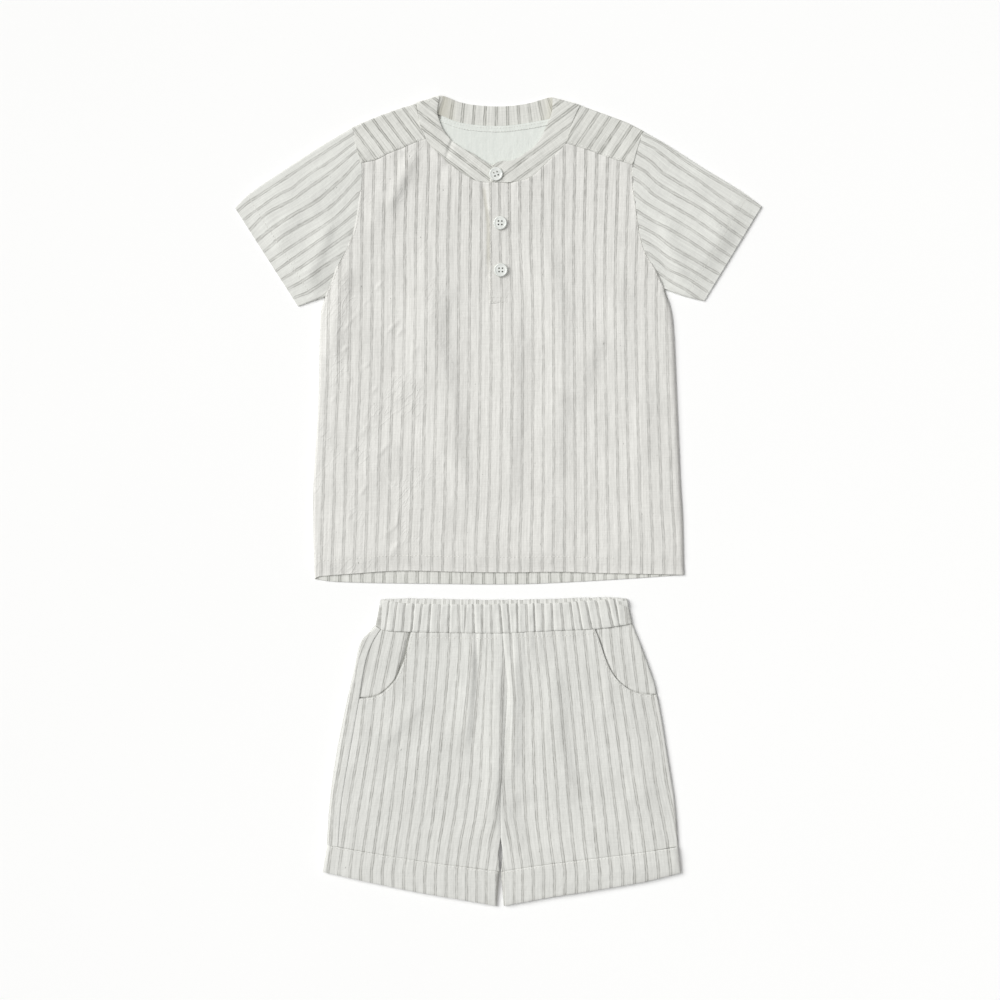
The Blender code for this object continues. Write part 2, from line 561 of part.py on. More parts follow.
def cut_away(piece, bm, name):
    """Cuts a shape drawn in millimetres out of a piece."""
    bmesh.ops.recalc_face_normals(bm, faces=bm.faces)
    bmesh.ops.scale(bm, vec=(MM, MM, MM), verts=bm.verts)
    mesh = bpy.data.meshes.new(name)
    bm.to_mesh(mesh)
    bm.free()
    cutter = bpy.data.objects.new(name, mesh)
    cutter.hide_render = True
    cutter.display_type = "WIRE"
    cutters.objects.link(cutter)
    cut = piece.modifiers.new(name, "BOOLEAN")
    cut.operation = "DIFFERENCE"
    cut.object = cutter


def waist_wave(share):
    return 0.5 - 0.5 * math.cos(2 * math.pi * WAIST_GATHERS * share)


def make_waistband():
    columns = WAIST_GATHERS * WAIST_GATHER_POINTS
    upper_rows, lower_rows = [], []
    front_top_line = spread(WAIST_TOP_FRONT, even(columns))
    back_top_line = spread(WAIST_TOP_BACK, even(WAIST_BACK_STEPS))
    foot = spread(WAIST_BOTTOM, even(columns))
    back_foot = spread(WAIST_BOTTOM, even(WAIST_BACK_STEPS))
    for v in even(FRONT_LAYER_STEPS):
        upper_rows.append([a.lerp(b, v) for a, b in zip(front_top_line, foot)])
        lower_rows.append([a.lerp(b, v) for a, b in zip(back_top_line, back_foot)])
    for rows in (upper_rows, lower_rows):
        for point in rows[-1]:
            point.y += SEAM_GAP / 2

    def height(section, share, x, y):
        if share is None:
            return WAIST_HEIGHT
        middle = smoothstep(min(share, 1 - share) / WAIST_EDGE_SHARE)
        lowest = 2 * WAIST_WALL + LAYER_GAP
        return lowest + (WAIST_HEIGHT - lowest) * middle + WAIST_GATHER_HEIGHT * middle * waist_wave(share)

    flat_tube("waistband", list(zip(upper_rows, lower_rows)), WAIST_WALL, LAYER_GAP, height)


def leg_gather(u, depth):
    """Gathers that start full at the waist seam and die out below it, each at its own length."""
    number = int(u * LEG_GATHERS)
    reach = LEG_GATHER_REACHES[number % len(LEG_GATHER_REACHES)]
    return (LEG_GATHER_HEIGHT * (0.5 - 0.5 * math.cos(2 * math.pi * LEG_GATHERS * u))
            * (1 - smoothstep(depth / reach)))


def shorts_underside(x, y):
    nearest = min(side_distance(SIDE_SEAM_LEFT, x, y), side_distance(OUTSIDE_RIGHT, x, y))
    rise = smoothstep(nearest / SHORTS_RAMP)
    return UPPER + SHORTS_LOFT * rise + rise * fold_height(SHORTS_FOLDS, x, y)


def waist_seam(first_x, last_x, steps):
    """Points along the stretch of the waist seam between two places."""
    fine = smooth_line(WAIST_BOTTOM, FINE_CUTS)
    along = shares(fine)
    start = min(zip(fine, along), key=lambda p: abs(p[0].x - first_x))[1]
    end = min(zip(fine, along), key=lambda p: abs(p[0].x - last_x))[1]
    return spread(WAIST_BOTTOM, [start + (end - start) * u for u in even(steps)])


def leg_rows(side, inseam, cuff, columns, on_left):
    """A leg's patch, from its side to the centre seam and, below the crotch, the inseam."""
    outer_x, inner_x = side[0][0], CENTRE_SEAM[0][0]
    top = waist_seam(*((outer_x, inner_x) if on_left else (inner_x, outer_x)), columns)
    bottom = spread(cuff, even(columns))
    inner = (smooth_line(CENTRE_SEAM, PANEL_CUTS) + [Vector(p) for p in inseam[1:]])[::-1]
    outer = spread(side, even(len(inner) - 1))[::-1]
    outer[-1], inner[-1] = (top[0], top[-1]) if on_left else (top[-1], top[0])
    bottom[0], bottom[-1] = (outer[0], inner[0]) if on_left else (inner[0], outer[0])
    sides = (outer, inner) if on_left else (inner, outer)
    return patch(bottom, top, *sides)


def pocket_cutter(pocket, outside):
    """A block whose one side is the pocket's opening: all the front cloth outside that goes."""
    bm = bmesh.new()
    curve = smooth_line([p[:2] for p in pocket], POCKET_CUTS)
    above = curve[0].y + POCKET_CUT_ABOVE
    beyond = [Vector((outside, curve[-1].y)), Vector((outside, above)), Vector((curve[0].x, above))]
    face = bm.faces.new([bm.verts.new((p.x, p.y, POCKET_CUT_BELOW)) for p in curve + beyond])
    made = bmesh.ops.extrude_face_region(bm, geom=[face])
    tops = [g for g in made["geom"] if isinstance(g, bmesh.types.BMVert)]
    bmesh.ops.translate(bm, verts=tops, vec=(0, 0, POCKET_CUT_HEIGHT))
    return bm


def make_shorts_fronts():
    columns = LEG_GATHERS * LEG_GATHER_POINTS

    def relief(x, y, u, v):
        return leg_gather(u, LEG_GATHER_TOP_Y - y)

    cuff_left = [SIDE_SEAM_LEFT[-1]] + CUFF_TOP_LEFT[1:]
    rows = leg_rows(SIDE_SEAM_LEFT, INSEAM_LEFT, cuff_left, columns, True)
    left = panel("shorts_front_left", rows, shorts_underside, relief=relief)
    cut_away(left, pocket_cutter(POCKET_LEFT, POCKET_CUT_LEFT_X), "pocket_opening_left")
    rows = leg_rows(OUTSIDE_RIGHT, INSEAM_RIGHT, CUFF_TOP_RIGHT, columns, False)
    right = panel("shorts_front_right", rows, shorts_underside, relief=relief)
    cut_away(right, pocket_cutter(POCKET_RIGHT, POCKET_CUT_RIGHT_X), "pocket_opening_right")


def make_pockets():
    """The cloth that shows inside each pocket's opening. It reaches on a little under the front."""
    for name, pocket, side in (("pocket_left", POCKET_LEFT, POCKET_SIDE_LEFT),
                               ("pocket_right", POCKET_RIGHT, POCKET_SIDE_RIGHT)):
        turn = -1 if name == "pocket_left" else 1
        edge = []
        for k, (x, y, tuck) in enumerate(pocket):
            before = Vector(pocket[max(k - 1, 0)][:2])
            after = Vector(pocket[min(k + 1, len(pocket) - 1)][:2])
            along = (after - before).normalized()
            edge.append(Vector((x, y)) + Vector((along.y, -along.x)) * tuck * turn)
        foot = edge[-1]
        outer = [Vector(p) for p in side if p[1] > foot.y + POCKET_SIDE_CLEARANCE] + [foot]
        inner = edge[:POCKET_CORNER + 1]
        outer_line = spread(outer, even(POCKET_STEPS))[::-1]
        inner_line = spread(inner, even(POCKET_STEPS))[::-1]
        bottom = spread(edge[:POCKET_CORNER - 1:-1], even(POCKET_STEPS))
        top = waist_seam(outer_line[-1].x, inner_line[-1].x, POCKET_STEPS)
        outer_line[-1], inner_line[-1] = top[0], top[-1]
        if turn > 0:
            bottom, top = bottom[::-1], top[::-1]
            panel(name, patch(bottom, top, inner_line, outer_line), on_back, FACING_WALL)
        else:
            panel(name, patch(bottom, top, outer_line, inner_line), on_back, FACING_WALL)


def make_shorts_backs():
    """The left back reaches round the outside edge to the side seam, which lies on the front."""
    rows = leg_rows(OUTSIDE_RIGHT, INSEAM_RIGHT, CUFF_TOP_RIGHT, BACK_LEG_STEPS, False)
    panel("shorts_back_right", rows, on_surface)
    rows = leg_rows(OUTSIDE_LEFT, INSEAM_LEFT, CUFF_TOP_LEFT, BACK_LEG_STEPS, True)
    steps = len(rows) - 1
    draw_in(rows, SEAM_GAP / 2)
    radius = UPPER / 2
    seam = spread(SIDE_SEAM_LEFT, even(steps))[::-1]
    columns = []
    for j, row in enumerate(rows):
        lowered = Vector((0, FOLD_CLEARANCE if j == steps else 0))
        edge = row[0] - lowered
        over = seam[j] - lowered - edge
        inward = over.normalized()
        width = over.length - 2 * SEAM_GAP
        turned = radius + WALL / 2
        middle = turned + (width - turned) * FOLD_MIDDLE
        section = [(edge + inward * width, UPPER + WALL / 2), (edge + inward * middle, UPPER + WALL / 2)]
        for degrees in TURN_DEGREES[::-1]:
            angle = math.radians(degrees)
            shift = turned - radius * math.cos(angle)
            section.append((edge + inward * shift, WALL / 2 + radius + radius * math.sin(angle)))
        section += [(point, WALL / 2) for point in row[1:]]
        columns.append(section)
    bm = bmesh.new()
    across = len(columns[0]) - 1
    bmesh.ops.create_grid(bm, x_segments=across, y_segments=steps, size=1)
    for vert in bm.verts:
        flat, height = columns[round((vert.co.y + 1) / 2 * steps)][round((vert.co.x + 1) / 2 * across)]
        vert.co = (flat.x, flat.y, height)
    made = finish_object("shorts_back_left", bm)
    wall = made.modifiers.new("cloth", "SOLIDIFY")
    wall.thickness = WALL * MM
    wall.offset = 0
    wall.use_even_offset = True


def make_cuffs():
    for name, top, bottom in (("cuff_left", CUFF_TOP_LEFT, CUFF_BOTTOM_LEFT),
                              ("cuff_right", CUFF_TOP_RIGHT, CUFF_BOTTOM_RIGHT)):
        upper = spread(top, even(CUFF_STEPS))
        lower = spread(bottom, even(CUFF_STEPS))
        rows = [[a.lerp(b, v) for a, b in zip(upper, lower)] for v in even(FRONT_LAYER_STEPS)]
        draw_in(rows, SEAM_GAP / 2)

        def height(section, share, x, y):
            middle = 1.0 if share is None else smoothstep(min(share, 1 - share) / CUFF_EDGE_SHARE)
            lowest = 2 * BAND_WALL + LAYER_GAP
            return lowest + (CUFF_HEIGHT - lowest) * middle

        flat_tube(name, [(row, row) for row in rows], BAND_WALL, LAYER_GAP, height)


clear_scene()
parts = new_collection("childs_shirt_and_shorts_set")
cutters = new_collection("cutters")
make_shirt_back()
make_shirt_front()
make_yokes()
make_sleeves()
make_collar()
make_neck_pieces()
make_placket()
make_buttons()
make_waistband()
make_shorts_fronts()
make_shorts_backs()
make_pockets()
make_cuffs()
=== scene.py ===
# Dresses a child's shirt and shorts set that lies flat: sewn cloth, stitching, buttons and materials.
# Places are in millimetres in the frame of the solids and become metres when a mesh is made.
import math

import bmesh
import bpy
import numpy as np
from mathutils import Matrix, Vector, noise
from mathutils.bvhtree import BVHTree


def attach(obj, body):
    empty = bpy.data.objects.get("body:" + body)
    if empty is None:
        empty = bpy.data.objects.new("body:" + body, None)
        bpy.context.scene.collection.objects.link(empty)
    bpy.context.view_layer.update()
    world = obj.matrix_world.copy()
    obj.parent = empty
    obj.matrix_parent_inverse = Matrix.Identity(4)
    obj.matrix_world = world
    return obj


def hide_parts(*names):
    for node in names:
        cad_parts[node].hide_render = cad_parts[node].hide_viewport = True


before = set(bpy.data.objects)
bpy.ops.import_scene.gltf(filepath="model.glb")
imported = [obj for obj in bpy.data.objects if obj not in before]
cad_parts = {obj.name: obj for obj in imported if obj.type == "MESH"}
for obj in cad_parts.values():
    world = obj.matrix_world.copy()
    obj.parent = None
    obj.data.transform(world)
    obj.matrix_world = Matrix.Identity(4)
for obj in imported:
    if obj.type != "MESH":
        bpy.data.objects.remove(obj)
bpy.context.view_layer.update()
mm = 0.001
stripePitch = 9.3    # from the middle of one stripe to the next

# outline of the shirt: x, y
armholeLeft = [(-125, 317), (-121.5, 301), (-117.5, 286.5), (-117, 270.5), (-119.5, 252.5),
               (-122.5, 233), (-129, 215.5), (-137, 200), (-143, 184.5), (-148, 173)]
armholeRight = [(123, 314), (117.5, 298.5), (114, 285), (114, 272), (115.5, 259.5),
                (117.5, 245), (120, 228), (124, 212.5), (132.5, 197.5), (141, 179.5)]
sleeveTopLeft = [(-125, 317), (-152, 301), (-175, 286), (-200, 269.5), (-215, 258.5), (-224.5, 248.5)]
sleeveTopRight = [(123, 314), (143.5, 302), (174, 282.5), (205, 263.5), (223.5, 250)]
sleeveUnderLeft = [(-148, 173), (-157, 170), (-171, 165)]
sleeveUnderRight = [(141, 179.5), (158, 173.5), (174.5, 169.5)]
sideLeft = [(-148, 173), (-152, 153), (-153.5, 85), (-157.5, 17), (-158, -17), (-156.8, -67)]
sideRight = [(141, 179.5), (148, 153), (151.5, 85), (154.5, 17), (156.5, -17), (157.5, -63.5)]
frontHem = [(-156.8, -67), (-151.5, -64.8), (-122.5, -62.5), (-84, -60), (-34, -61), (8.5, -61.5),
            (51, -61), (86, -62),
            (157.5, -63.5)]
backHem = [(-156.8, -67), (-146, -68.7), (-135, -69.5), (-101, -70.5), (-55, -71), (-13, -71.5),
           (30, -71), (72, -69),
           (114, -66.5), (157.5, -63.5)]
shoulderLeft = [(-125, 317), (-111.5, 323), (-91, 331), (-70.5, 337.5)]
shoulderRight = [(69, 336), (92.5, 327.5), (109.5, 321), (123, 314)]
yokeSeamLeft = [(-117.5, 286.5), (-104, 289.5), (-94.5, 294.5), (-84, 298.5), (-74, 303), (-62, 307)]
yokeSeamRight = [(57, 303.5), (67, 300.5), (78, 297), (88.5, 293), (99.5, 289.5), (114, 285)]
yokeNeckLeft = [(-62, 307), (-67, 319), (-70.5, 337.5)]
yokeNeckRight = [(57, 303.5), (63, 322.5), (69, 336)]
neckline = [(-62, 307), (-57, 300.5), (-50, 293.5), (-40, 284), (-30, 277.5), (-20.5, 272), (-9.5, 270),
            (1, 270), (9.5, 270), (18.5, 271.5), (28, 275), (37, 283.5), (46, 292), (57, 303.5)]
backNeck = [(-70.5, 337.5), (-70.3, 332.3), (-60.5, 330.6), (-48.5, 326.3), (-35, 321), (-20.5, 318.5),
            (1, 317.5), (20.5, 319.5), (35, 322), (45, 324), (57, 328.8), (68.6, 331.5), (69, 336)]

# outline of the shorts: x, y
waistTopFront = [(-100.5, -84.5), (-84, -87), (-55, -88.5), (1, -88.5), (44, -87.5), (87.5, -85),
                 (109, -83.5)]
waistTopBack = [(-100.5, -84.5), (-74, -83.7), (1, -85), (44, -84), (87.5, -82.8), (109, -83.5)]
waistBottom = [(-105, -107), (-95, -111), (-48.5, -112.5), (3, -113), (32.5, -111.5), (81, -109.5),
               (104.5, -106.5), (113.5, -105)]
outsideLeft = [(-105, -107), (-117.5, -122), (-123, -146), (-129, -171.5), (-137.5, -214),
               (-143.5, -256.5), (-146, -293)]
outsideRight = [(113.5, -105), (123, -129), (132, -154.5), (137.5, -180), (143, -214),
                (149.5, -256.5), (152.5, -294.5)]
sideSeamLeft = [(-101, -109.5), (-107, -119), (-112, -131), (-115.5, -146), (-119, -168.5),
                (-127, -214), (-134, -256.5), (-137, -294.5)]
centreSeam = [(3, -113), (6, -148.5), (7, -161.5), (4.5, -206.5), (1.5, -255), (1.5, -287)]
inseamLeft = [(1.5, -287), (-0.3, -301), (0.5, -315.5)]
inseamRight = [(1.5, -287), (3, -301), (1.6, -315.5)]
cuffTopLeft = [(-146, -293), (-106, -300), (-59.5, -307.5), (-24.5, -312), (0.5, -315.5)]
cuffTopRight = [(1.6, -315.5), (32.5, -310.5), (87.5, -303.5), (122.5, -299), (152.5, -294.5)]
cuffBottomLeft = [(-150, -316), (-111.5, -324.5), (-70.5, -333), (-30, -340), (-2, -345)]
cuffBottomRight = [(4, -345), (41.5, -338), (82.5, -331.5), (123, -324.5), (155, -316.5)]
pocketLeft = [(-74.5, -111), (-76.5, -119), (-79.5, -132.5), (-83, -141.5), (-88.5, -153),
              (-97, -162), (-105.5, -167), (-119, -168.5)]
pocketRight = [(81.5, -109.5), (86, -121.5), (91, -136.5), (98, -149.5), (106.5, -158),
               (115.5, -163), (124, -165), (134, -165.5)]

# where the stripes run on the shirt's body and on each leg: y, then pairs of stripe number and x
bodyStripes = [
    (285, (-13, -115.5), (-5, -41.5), (-2, -15), (0, 0), (2, 17.5), (4, 37), (12, 110.5)),
    (221, (-15, -135), (-5, -43.5), (-2, -15), (0, 1), (2, 17.5), (4, 36.5), (14, 126)),
    (170, (-16, -144.5), (0, 2.5), (16, 142)),
    (102, (-16, -146), (0, 2.5), (16, 143.5)),
    (34, (-16, -149), (0, 1.5), (16, 146)),
    (0, (-16, -149.5), (0, 1), (16, 147)),
    (-34, (-16, -150.5), (0, -1), (16, 149.5)),
    (-60, (-16, -151.5), (0, -1), (16, 149.5)),
]
leftLegStripes = [
    (-113, (-14, -116), (-9, -69.5), (-3, -14.5), (-1, -6), (0, 4)),
    (-136, (-14, -115), (-9, -70.5), (-3, -15.5), (-1, -6), (0, 4)),
    (-170, (-14, -114), (-9, -73), (-3, -18.5), (-1, -7), (0, 2.5)),
    (-204, (-14, -118), (-9, -76.5), (-3, -22), (-1, -7), (0, 1.5)),
    (-238, (-14, -124), (-9, -80), (-3, -24.5), (-1, -7.5), (0, 1)),
    (-272, (-14, -130), (-9, -84), (-3, -29), (-1, -12), (0, -3.5)),
    (-289, (-14, -132.5), (-9, -86.5), (-3, -32.5), (-1, -15.5), (0, -7.5)),
    (-315, (-14, -136), (-9, -90), (-3, -36), (-1, -19), (0, -11)),
]
rightLegStripes = [
    (-113, (0, 2), (1, 10), (5, 38), (10, 81), (15, 124)),
    (-136, (0, 3), (1, 11), (5, 40), (10, 83.5), (15, 126.5)),
    (-170, (0, 5), (1, 13.5), (5, 43.5), (10, 87.5), (15, 131)),
    (-204, (0, 3.5), (1, 12), (5, 46), (10, 92), (15, 137.5)),
    (-238, (0, 3.5), (1, 12), (5, 48.5), (10, 96), (15, 142)),
    (-272, (0, 6), (1, 13.5), (5, 51), (10, 100.5), (15, 149.5)),
    (-289, (0, 9.5), (1, 16), (5, 52.5), (10, 102), (15, 153)),
    (-315, (0, 13), (1, 20), (5, 56), (10, 105), (15, 156)),
]


def smoothLine(points, steps=10):  # a curve through the given points
    p = np.array(points, float)
    p = np.vstack([2 * p[0] - p[1], p, 2 * p[-1] - p[-2]])
    t = np.arange(steps)[:, None] / steps
    made = [0.5 * (2 * b + (c - a) * t + (2 * a - 5 * b + 4 * c - d) * t ** 2
                   + (3 * b - a - 3 * c + d) * t ** 3) for a, b, c, d in zip(p, p[1:], p[2:], p[3:])]
    return np.vstack(made + [p[-2:-1]])


def joined(*lines):  # several curves end to end, with the shared ends kept once
    made = [smoothLine(line) for line in lines]
    return np.vstack([made[0]] + [line[1:] for line in made[1:]])


def runOf(line):  # the length up to each point
    return np.r_[0, np.cumsum(np.linalg.norm(np.diff(line, axis=0), axis=1))]


def pick(line, shares):  # points of a line at shares of its length
    run = runOf(line)
    return np.stack([np.interp(np.asarray(shares) * run[-1], run, line[:, k])
                     for k in range(line.shape[1])], axis=1)


def sharesFor(length, cell):  # even steps, with finer ones at both ends for the rolled edges
    count = max(4, round(length / cell))
    steps = np.linspace(0, 1, count + 1)
    fine = np.array([0.45, 1.1, 2.0]) / length
    inner = steps[(steps > fine[-1] * 1.4) & (steps < 1 - fine[-1] * 1.4)]
    return np.r_[0, fine, inner, 1 - fine[::-1], 1]


def patch(bottom, top, left, right, cell, u=None):  # rows of places between four edges whose ends meet
    if u is None:
        u = sharesFor(max(runOf(bottom)[-1], runOf(top)[-1]), cell)
    v = sharesFor(max(runOf(left)[-1], runOf(right)[-1]), cell)
    b, t, l, r = pick(bottom, u), pick(top, u), pick(left, v), pick(right, v)
    u, v = u[None, :, None], v[:, None, None]
    corners = (1 - u) * (1 - v) * b[0] + u * (1 - v) * b[-1] + (1 - u) * v * t[0] + u * v * t[-1]
    return (1 - v) * b[None] + v * t[None] + (1 - u) * l[:, None] + u * r[:, None] - corners


def strip(lower, upper, cell, u=None):  # a patch with straight ends
    left, right = np.linspace(lower[0], upper[0], 12), np.linspace(lower[-1], upper[-1], 12)
    return patch(lower, upper, left, right, cell, u)


def offsetFrom(line, places):  # distance from a line, minus on its left, and how far along it, 0 to 1
    flat = places.reshape(-1, 2)
    run = runOf(line)
    nearest, side, along = np.full(len(flat), 1e9), np.ones(len(flat)), np.zeros(len(flat))
    for n, (a, b) in enumerate(zip(line, line[1:])):
        d = b - a
        size = max(float(np.hypot(*d)), 1e-9)
        t = np.clip(((flat - a) @ d) / size ** 2, 0, 1)
        gap = flat - a - t[:, None] * d
        far = np.hypot(gap[:, 0], gap[:, 1])
        near = far < nearest
        nearest[near] = far[near]
        side[near] = np.where(d[0] * gap[near, 1] - d[1] * gap[near, 0] > 0, -1, 1)
        along[near] = (run[n] + (run[n + 1] - run[n]) * t[near]) / run[-1]
    shape = places.shape[:-1]
    return (nearest * side).reshape(shape), along.reshape(shape)


def distance(line, places):
    return np.abs(offsetFrom(line, places)[0])


def nearest(places, *lines):  # distance from the nearest of some lines
    return np.min([distance(line, places) for line in lines], axis=0)


def fromEnds(places):  # distance from the nearer end of each row
    first, last = places - places[:, :1], places - places[:, -1:]
    return np.minimum(np.linalg.norm(first, axis=-1), np.linalg.norm(last, axis=-1))


def ease(value):
    value = np.clip(value, 0, 1)
    return value * value * (3 - 2 * value)


def bump(value, width):
    return np.exp(-(value / width) ** 2)


def rounding(far, width):  # 0 at an edge, 1 from that width on, like a quarter of an ellipse
    return np.sqrt(1 - (1 - np.clip(far / width, 0, 1)) ** 2)


def sideRise(far, share=0.5):  # a side edge: a tight turn of the cloth, then a long slow rise
    return share * rounding(far, 1.5) + (1 - share) * ease(far / 30)


def foldRelief(places, folds):  # each fold: the crest's path upwards, height, and width to its left and right
    total = np.zeros(places.shape[:-1])
    for path, height, leftWidth, rightWidth in folds:
        aside, along = offsetFrom(smoothLine(path, 6), places)
        fade = ease(4 * along) * ease(4 * (1 - along))
        total += height * fade * bump(aside, np.where(aside < 0, leftWidth, rightWidth))
    return total


def unevenness(places, size, seed):  # smooth random values from -1 to 1
    flat = places.reshape(-1, 2) / size
    return np.array([noise.noise(Vector((x, y, seed))) for x, y in flat]).reshape(places.shape[:-1])


def waves(places, *layers):  # uneven cloth: each layer's height, the size of its waves, and its seed
    return sum(height * unevenness(places, size, seed) for height, size, seed in layers)


def puffed(places, side, piece, low):  # an upper layer: low at its side edges, then with folds and waves
    rise = ease(side / piece["edgeReach"])
    height = low + (piece["topHeight"] - low) * sideRise(side, piece["turnShare"])
    folded = piece["foldDepth"] * foldRelief(places, piece["folds"])
    height += rise * (waves(places, *piece["waves"]) + folded)
    return height, rise


def hemmed(height, hem, piece, rise=1):  # pressed flat towards the hem, with a groove along its stitches
    height -= (height - piece["hemHeight"]) * piece["hemPress"] * ease(1 - hem / piece["hemReach"])
    return height - rise * piece["hemGroove"] * bump(hem - piece["hemDepth"], 1.2)


def seamDip(places, *lines, depth=0.25, width=0.65):  # the cloth turns down into its seams
    return depth * bump(nearest(places, *lines), width)


def pucker(places, line, reach, size, seed, height):  # small waves that a seam draws into the cloth
    far, along = offsetFrom(line, places)
    run = runOf(line)[-1]
    wave = np.array([noise.noise(Vector((a * run / size, seed, 0))) for a in along.ravel()])
    return height * wave.reshape(along.shape) * np.exp(-np.abs(far) / reach)


def stripeNumber(places, table):  # which stripe a place is on, between the rows of a stripe table
    x, y = places[..., 0], places[..., 1]
    beyond = 20    # the stripes go on evenly outside the table
    numbers = []
    for row in table:
        n, at = np.array(row[1:], float).T
        at = np.r_[at[0] - beyond * stripePitch, at, at[-1] + beyond * stripePitch]
        numbers.append(np.interp(x, at, np.r_[n[0] - beyond, n, n[-1] + beyond]))
    found = numbers[0]
    for k in range(len(table) - 1):
        high, low = table[k][0], table[k + 1][0]
        found = found + np.clip((high - y) / (high - low), 0, 1) * (numbers[k + 1] - numbers[k])
    return found


def numberBetween(places, lines):  # the stripe number between drawn stripes, each on one side of the last
    gaps = np.array([offsetFrom(smoothLine(line, 4), places)[0] for line in lines])
    if gaps[0].mean() < gaps[-1].mean():
        gaps = -gaps
    number = gaps[0] / stripePitch
    for k in range(len(lines) - 1):
        inside = gaps[k] > 0
        number = np.where(inside, k + gaps[k] / np.maximum(gaps[k] - gaps[k + 1], 0.5), number)
    return np.where(gaps[-1] > 0, len(lines) - 1 + gaps[-1] / stripePitch, number)


def clothUv(number, along):  # the stripe's number across and the same measure along
    return np.stack([number, along / stripePitch], axis=-1)


def stripedUv(places, table, shift=0):
    return clothUv(stripeNumber(places, table) + shift, places[..., 1])


def slanted(places, degrees, pitch, start):  # straight stripes that run in a direction from +X
    angle = math.radians(degrees)
    across = places[..., 1] * math.cos(angle) - places[..., 0] * math.sin(angle)
    along = places[..., 0] * math.cos(angle) + places[..., 1] * math.sin(angle)
    return clothUv(across / pitch + start, along)


def withHeight(places, height):
    return np.concatenate([places, height[..., None]], axis=-1)


def aroundTube(upper, lower):  # a tube that lies flat: its upper layer across, then its lower layer back
    return np.concatenate([upper, lower[:, -2:0:-1], upper[:, :1]], axis=1)


def srgb(text):
    def linear(c):
        return c / 12.92 if c <= 0.04045 else ((c + 0.055) / 1.055) ** 2.4
    return tuple(linear(int(text[i:i + 2], 16) / 255) for i in (0, 2, 4)) + (1.0,)


def addNode(tree, kind, settings=None, inputs=None):
    made = tree.nodes.new(kind)
    for name, value in (settings or {}).items():
        setattr(made, name, value)
    for name, value in (inputs or {}).items():
        if isinstance(value, bpy.types.NodeSocket):
            tree.links.new(value, made.inputs[name])
        else:
            made.inputs[name].default_value = value
    return made


def maths(tree, operation, first, second=None, third=None):
    inputs = {0: first}
    if second is not None:
        inputs[1] = second
    if third is not None:
        inputs[2] = third
    return addNode(tree, "ShaderNodeMath", {"operation": operation}, inputs).outputs[0]


def product(tree, first, *others):
    for other in others:
        first = maths(tree, "MULTIPLY", first, other)
    return first


def noiseAt(tree, vector, scale, detail=2.0, roughness=0.5):
    inputs = {"Vector": vector, "Scale": scale, "Detail": detail, "Roughness": roughness}
    return addNode(tree, "ShaderNodeTexNoise", None, inputs).outputs["Fac"]


def noiseOn(tree, place, scales, detail=2.0, roughness=0.5):  # noise stretched across and along the stripes
    return noiseAt(tree, stretched(tree, place, *scales), 1.0, detail, roughness)


def stretched(tree, vector, x, y):
    return addNode(tree, "ShaderNodeMapping", None, {"Vector": vector, "Scale": (x, y, 1)}).outputs[0]


def ramp(tree, value, low, high):
    return addNode(tree, "ShaderNodeMapRange", {"interpolation_type": "SMOOTHSTEP"},
                   {"Value": value, "From Min": low, "From Max": high}).outputs[0]


def fall(tree, value, low, high):
    return maths(tree, "SUBTRACT", 1.0, ramp(tree, value, low, high))


def mixColour(tree, share, first, second):
    made = tree.nodes.new("ShaderNodeMix")
    made.data_type = "RGBA"
    for socket, value in ((0, share), (6, first), (7, second)):
        if isinstance(value, bpy.types.NodeSocket):
            tree.links.new(value, made.inputs[socket])
        else:
            made.inputs[socket].default_value = value
    return made.outputs[2]


# the cloth's pattern: lengths in millimetres, noise scales per millimetre across and along the stripes
weave = {
    # uneven yarns, drawn coarser than real ones so that they show
    "warp": (0.8, 0.022), "weft": (0.05, 1.5),
    "patches": 0.03, "toneRange": (0.45, 0.8),
    "lineAside": 0.85, "lineEdge": (0.28, 0.62),    # each of a stripe's two lines, and how it fades out
    "betweenEdge": (0.9, 1.75),    # the greyer cloth between and beside them
    "drift": (0.08, 0.03), "wobble": (0.3, 0.16), "broken": (0.9, 0.11), "faded": (0.05, 0.012),
    "slub": (0.55, 0.2), "slubRange": (0.77, 0.82), "slubShare": 0.75, "slubColour": "8A8A84",
    "thread": (2.4, 0.5), "crossThread": (0.5, 2.4), "crumple": (0.16, 0.1),
    "crinkleTurn": -53, "crinkle": (0.05, 0.17), "crinklePatches": (0.03, 0.02), "crinkleStripes": (4, 8),
    # the colour of the painted shade in the collar's folds and the placket's slit
    "shade": "BFBBA8",
}


def collarPaintedShade(tree, place):  # painted shade: the inside of the collar is painted warmer and darker towards its two folds, where shade falls inside them
    out = ramp(tree, maths(tree, "ABSOLUTE", place.outputs[0]), 0.031, 0.05)
    return product(tree, out, fall(tree, place.outputs[2], 0.0022, 0.0032), 0.5)


def slitPaintedShade(tree, place):  # painted shade: the cloth is painted warmer and darker where it turns into the open edge of the placket, for the shade and bounced light in that gap
    lean = maths(tree, "MULTIPLY", ramp(tree, place.outputs[1], 0.232, 0.266), 0.0034)
    aside = maths(tree, "ABSOLUTE", maths(tree, "ADD", maths(tree, "ADD", place.outputs[0], 0.0092), lean))
    foot, top = ramp(tree, place.outputs[1], 0.192, 0.21), fall(tree, place.outputs[1], 0.262, 0.268)
    return product(tree, fall(tree, aside, 0.0005, 0.0022), foot, top, 0.36)


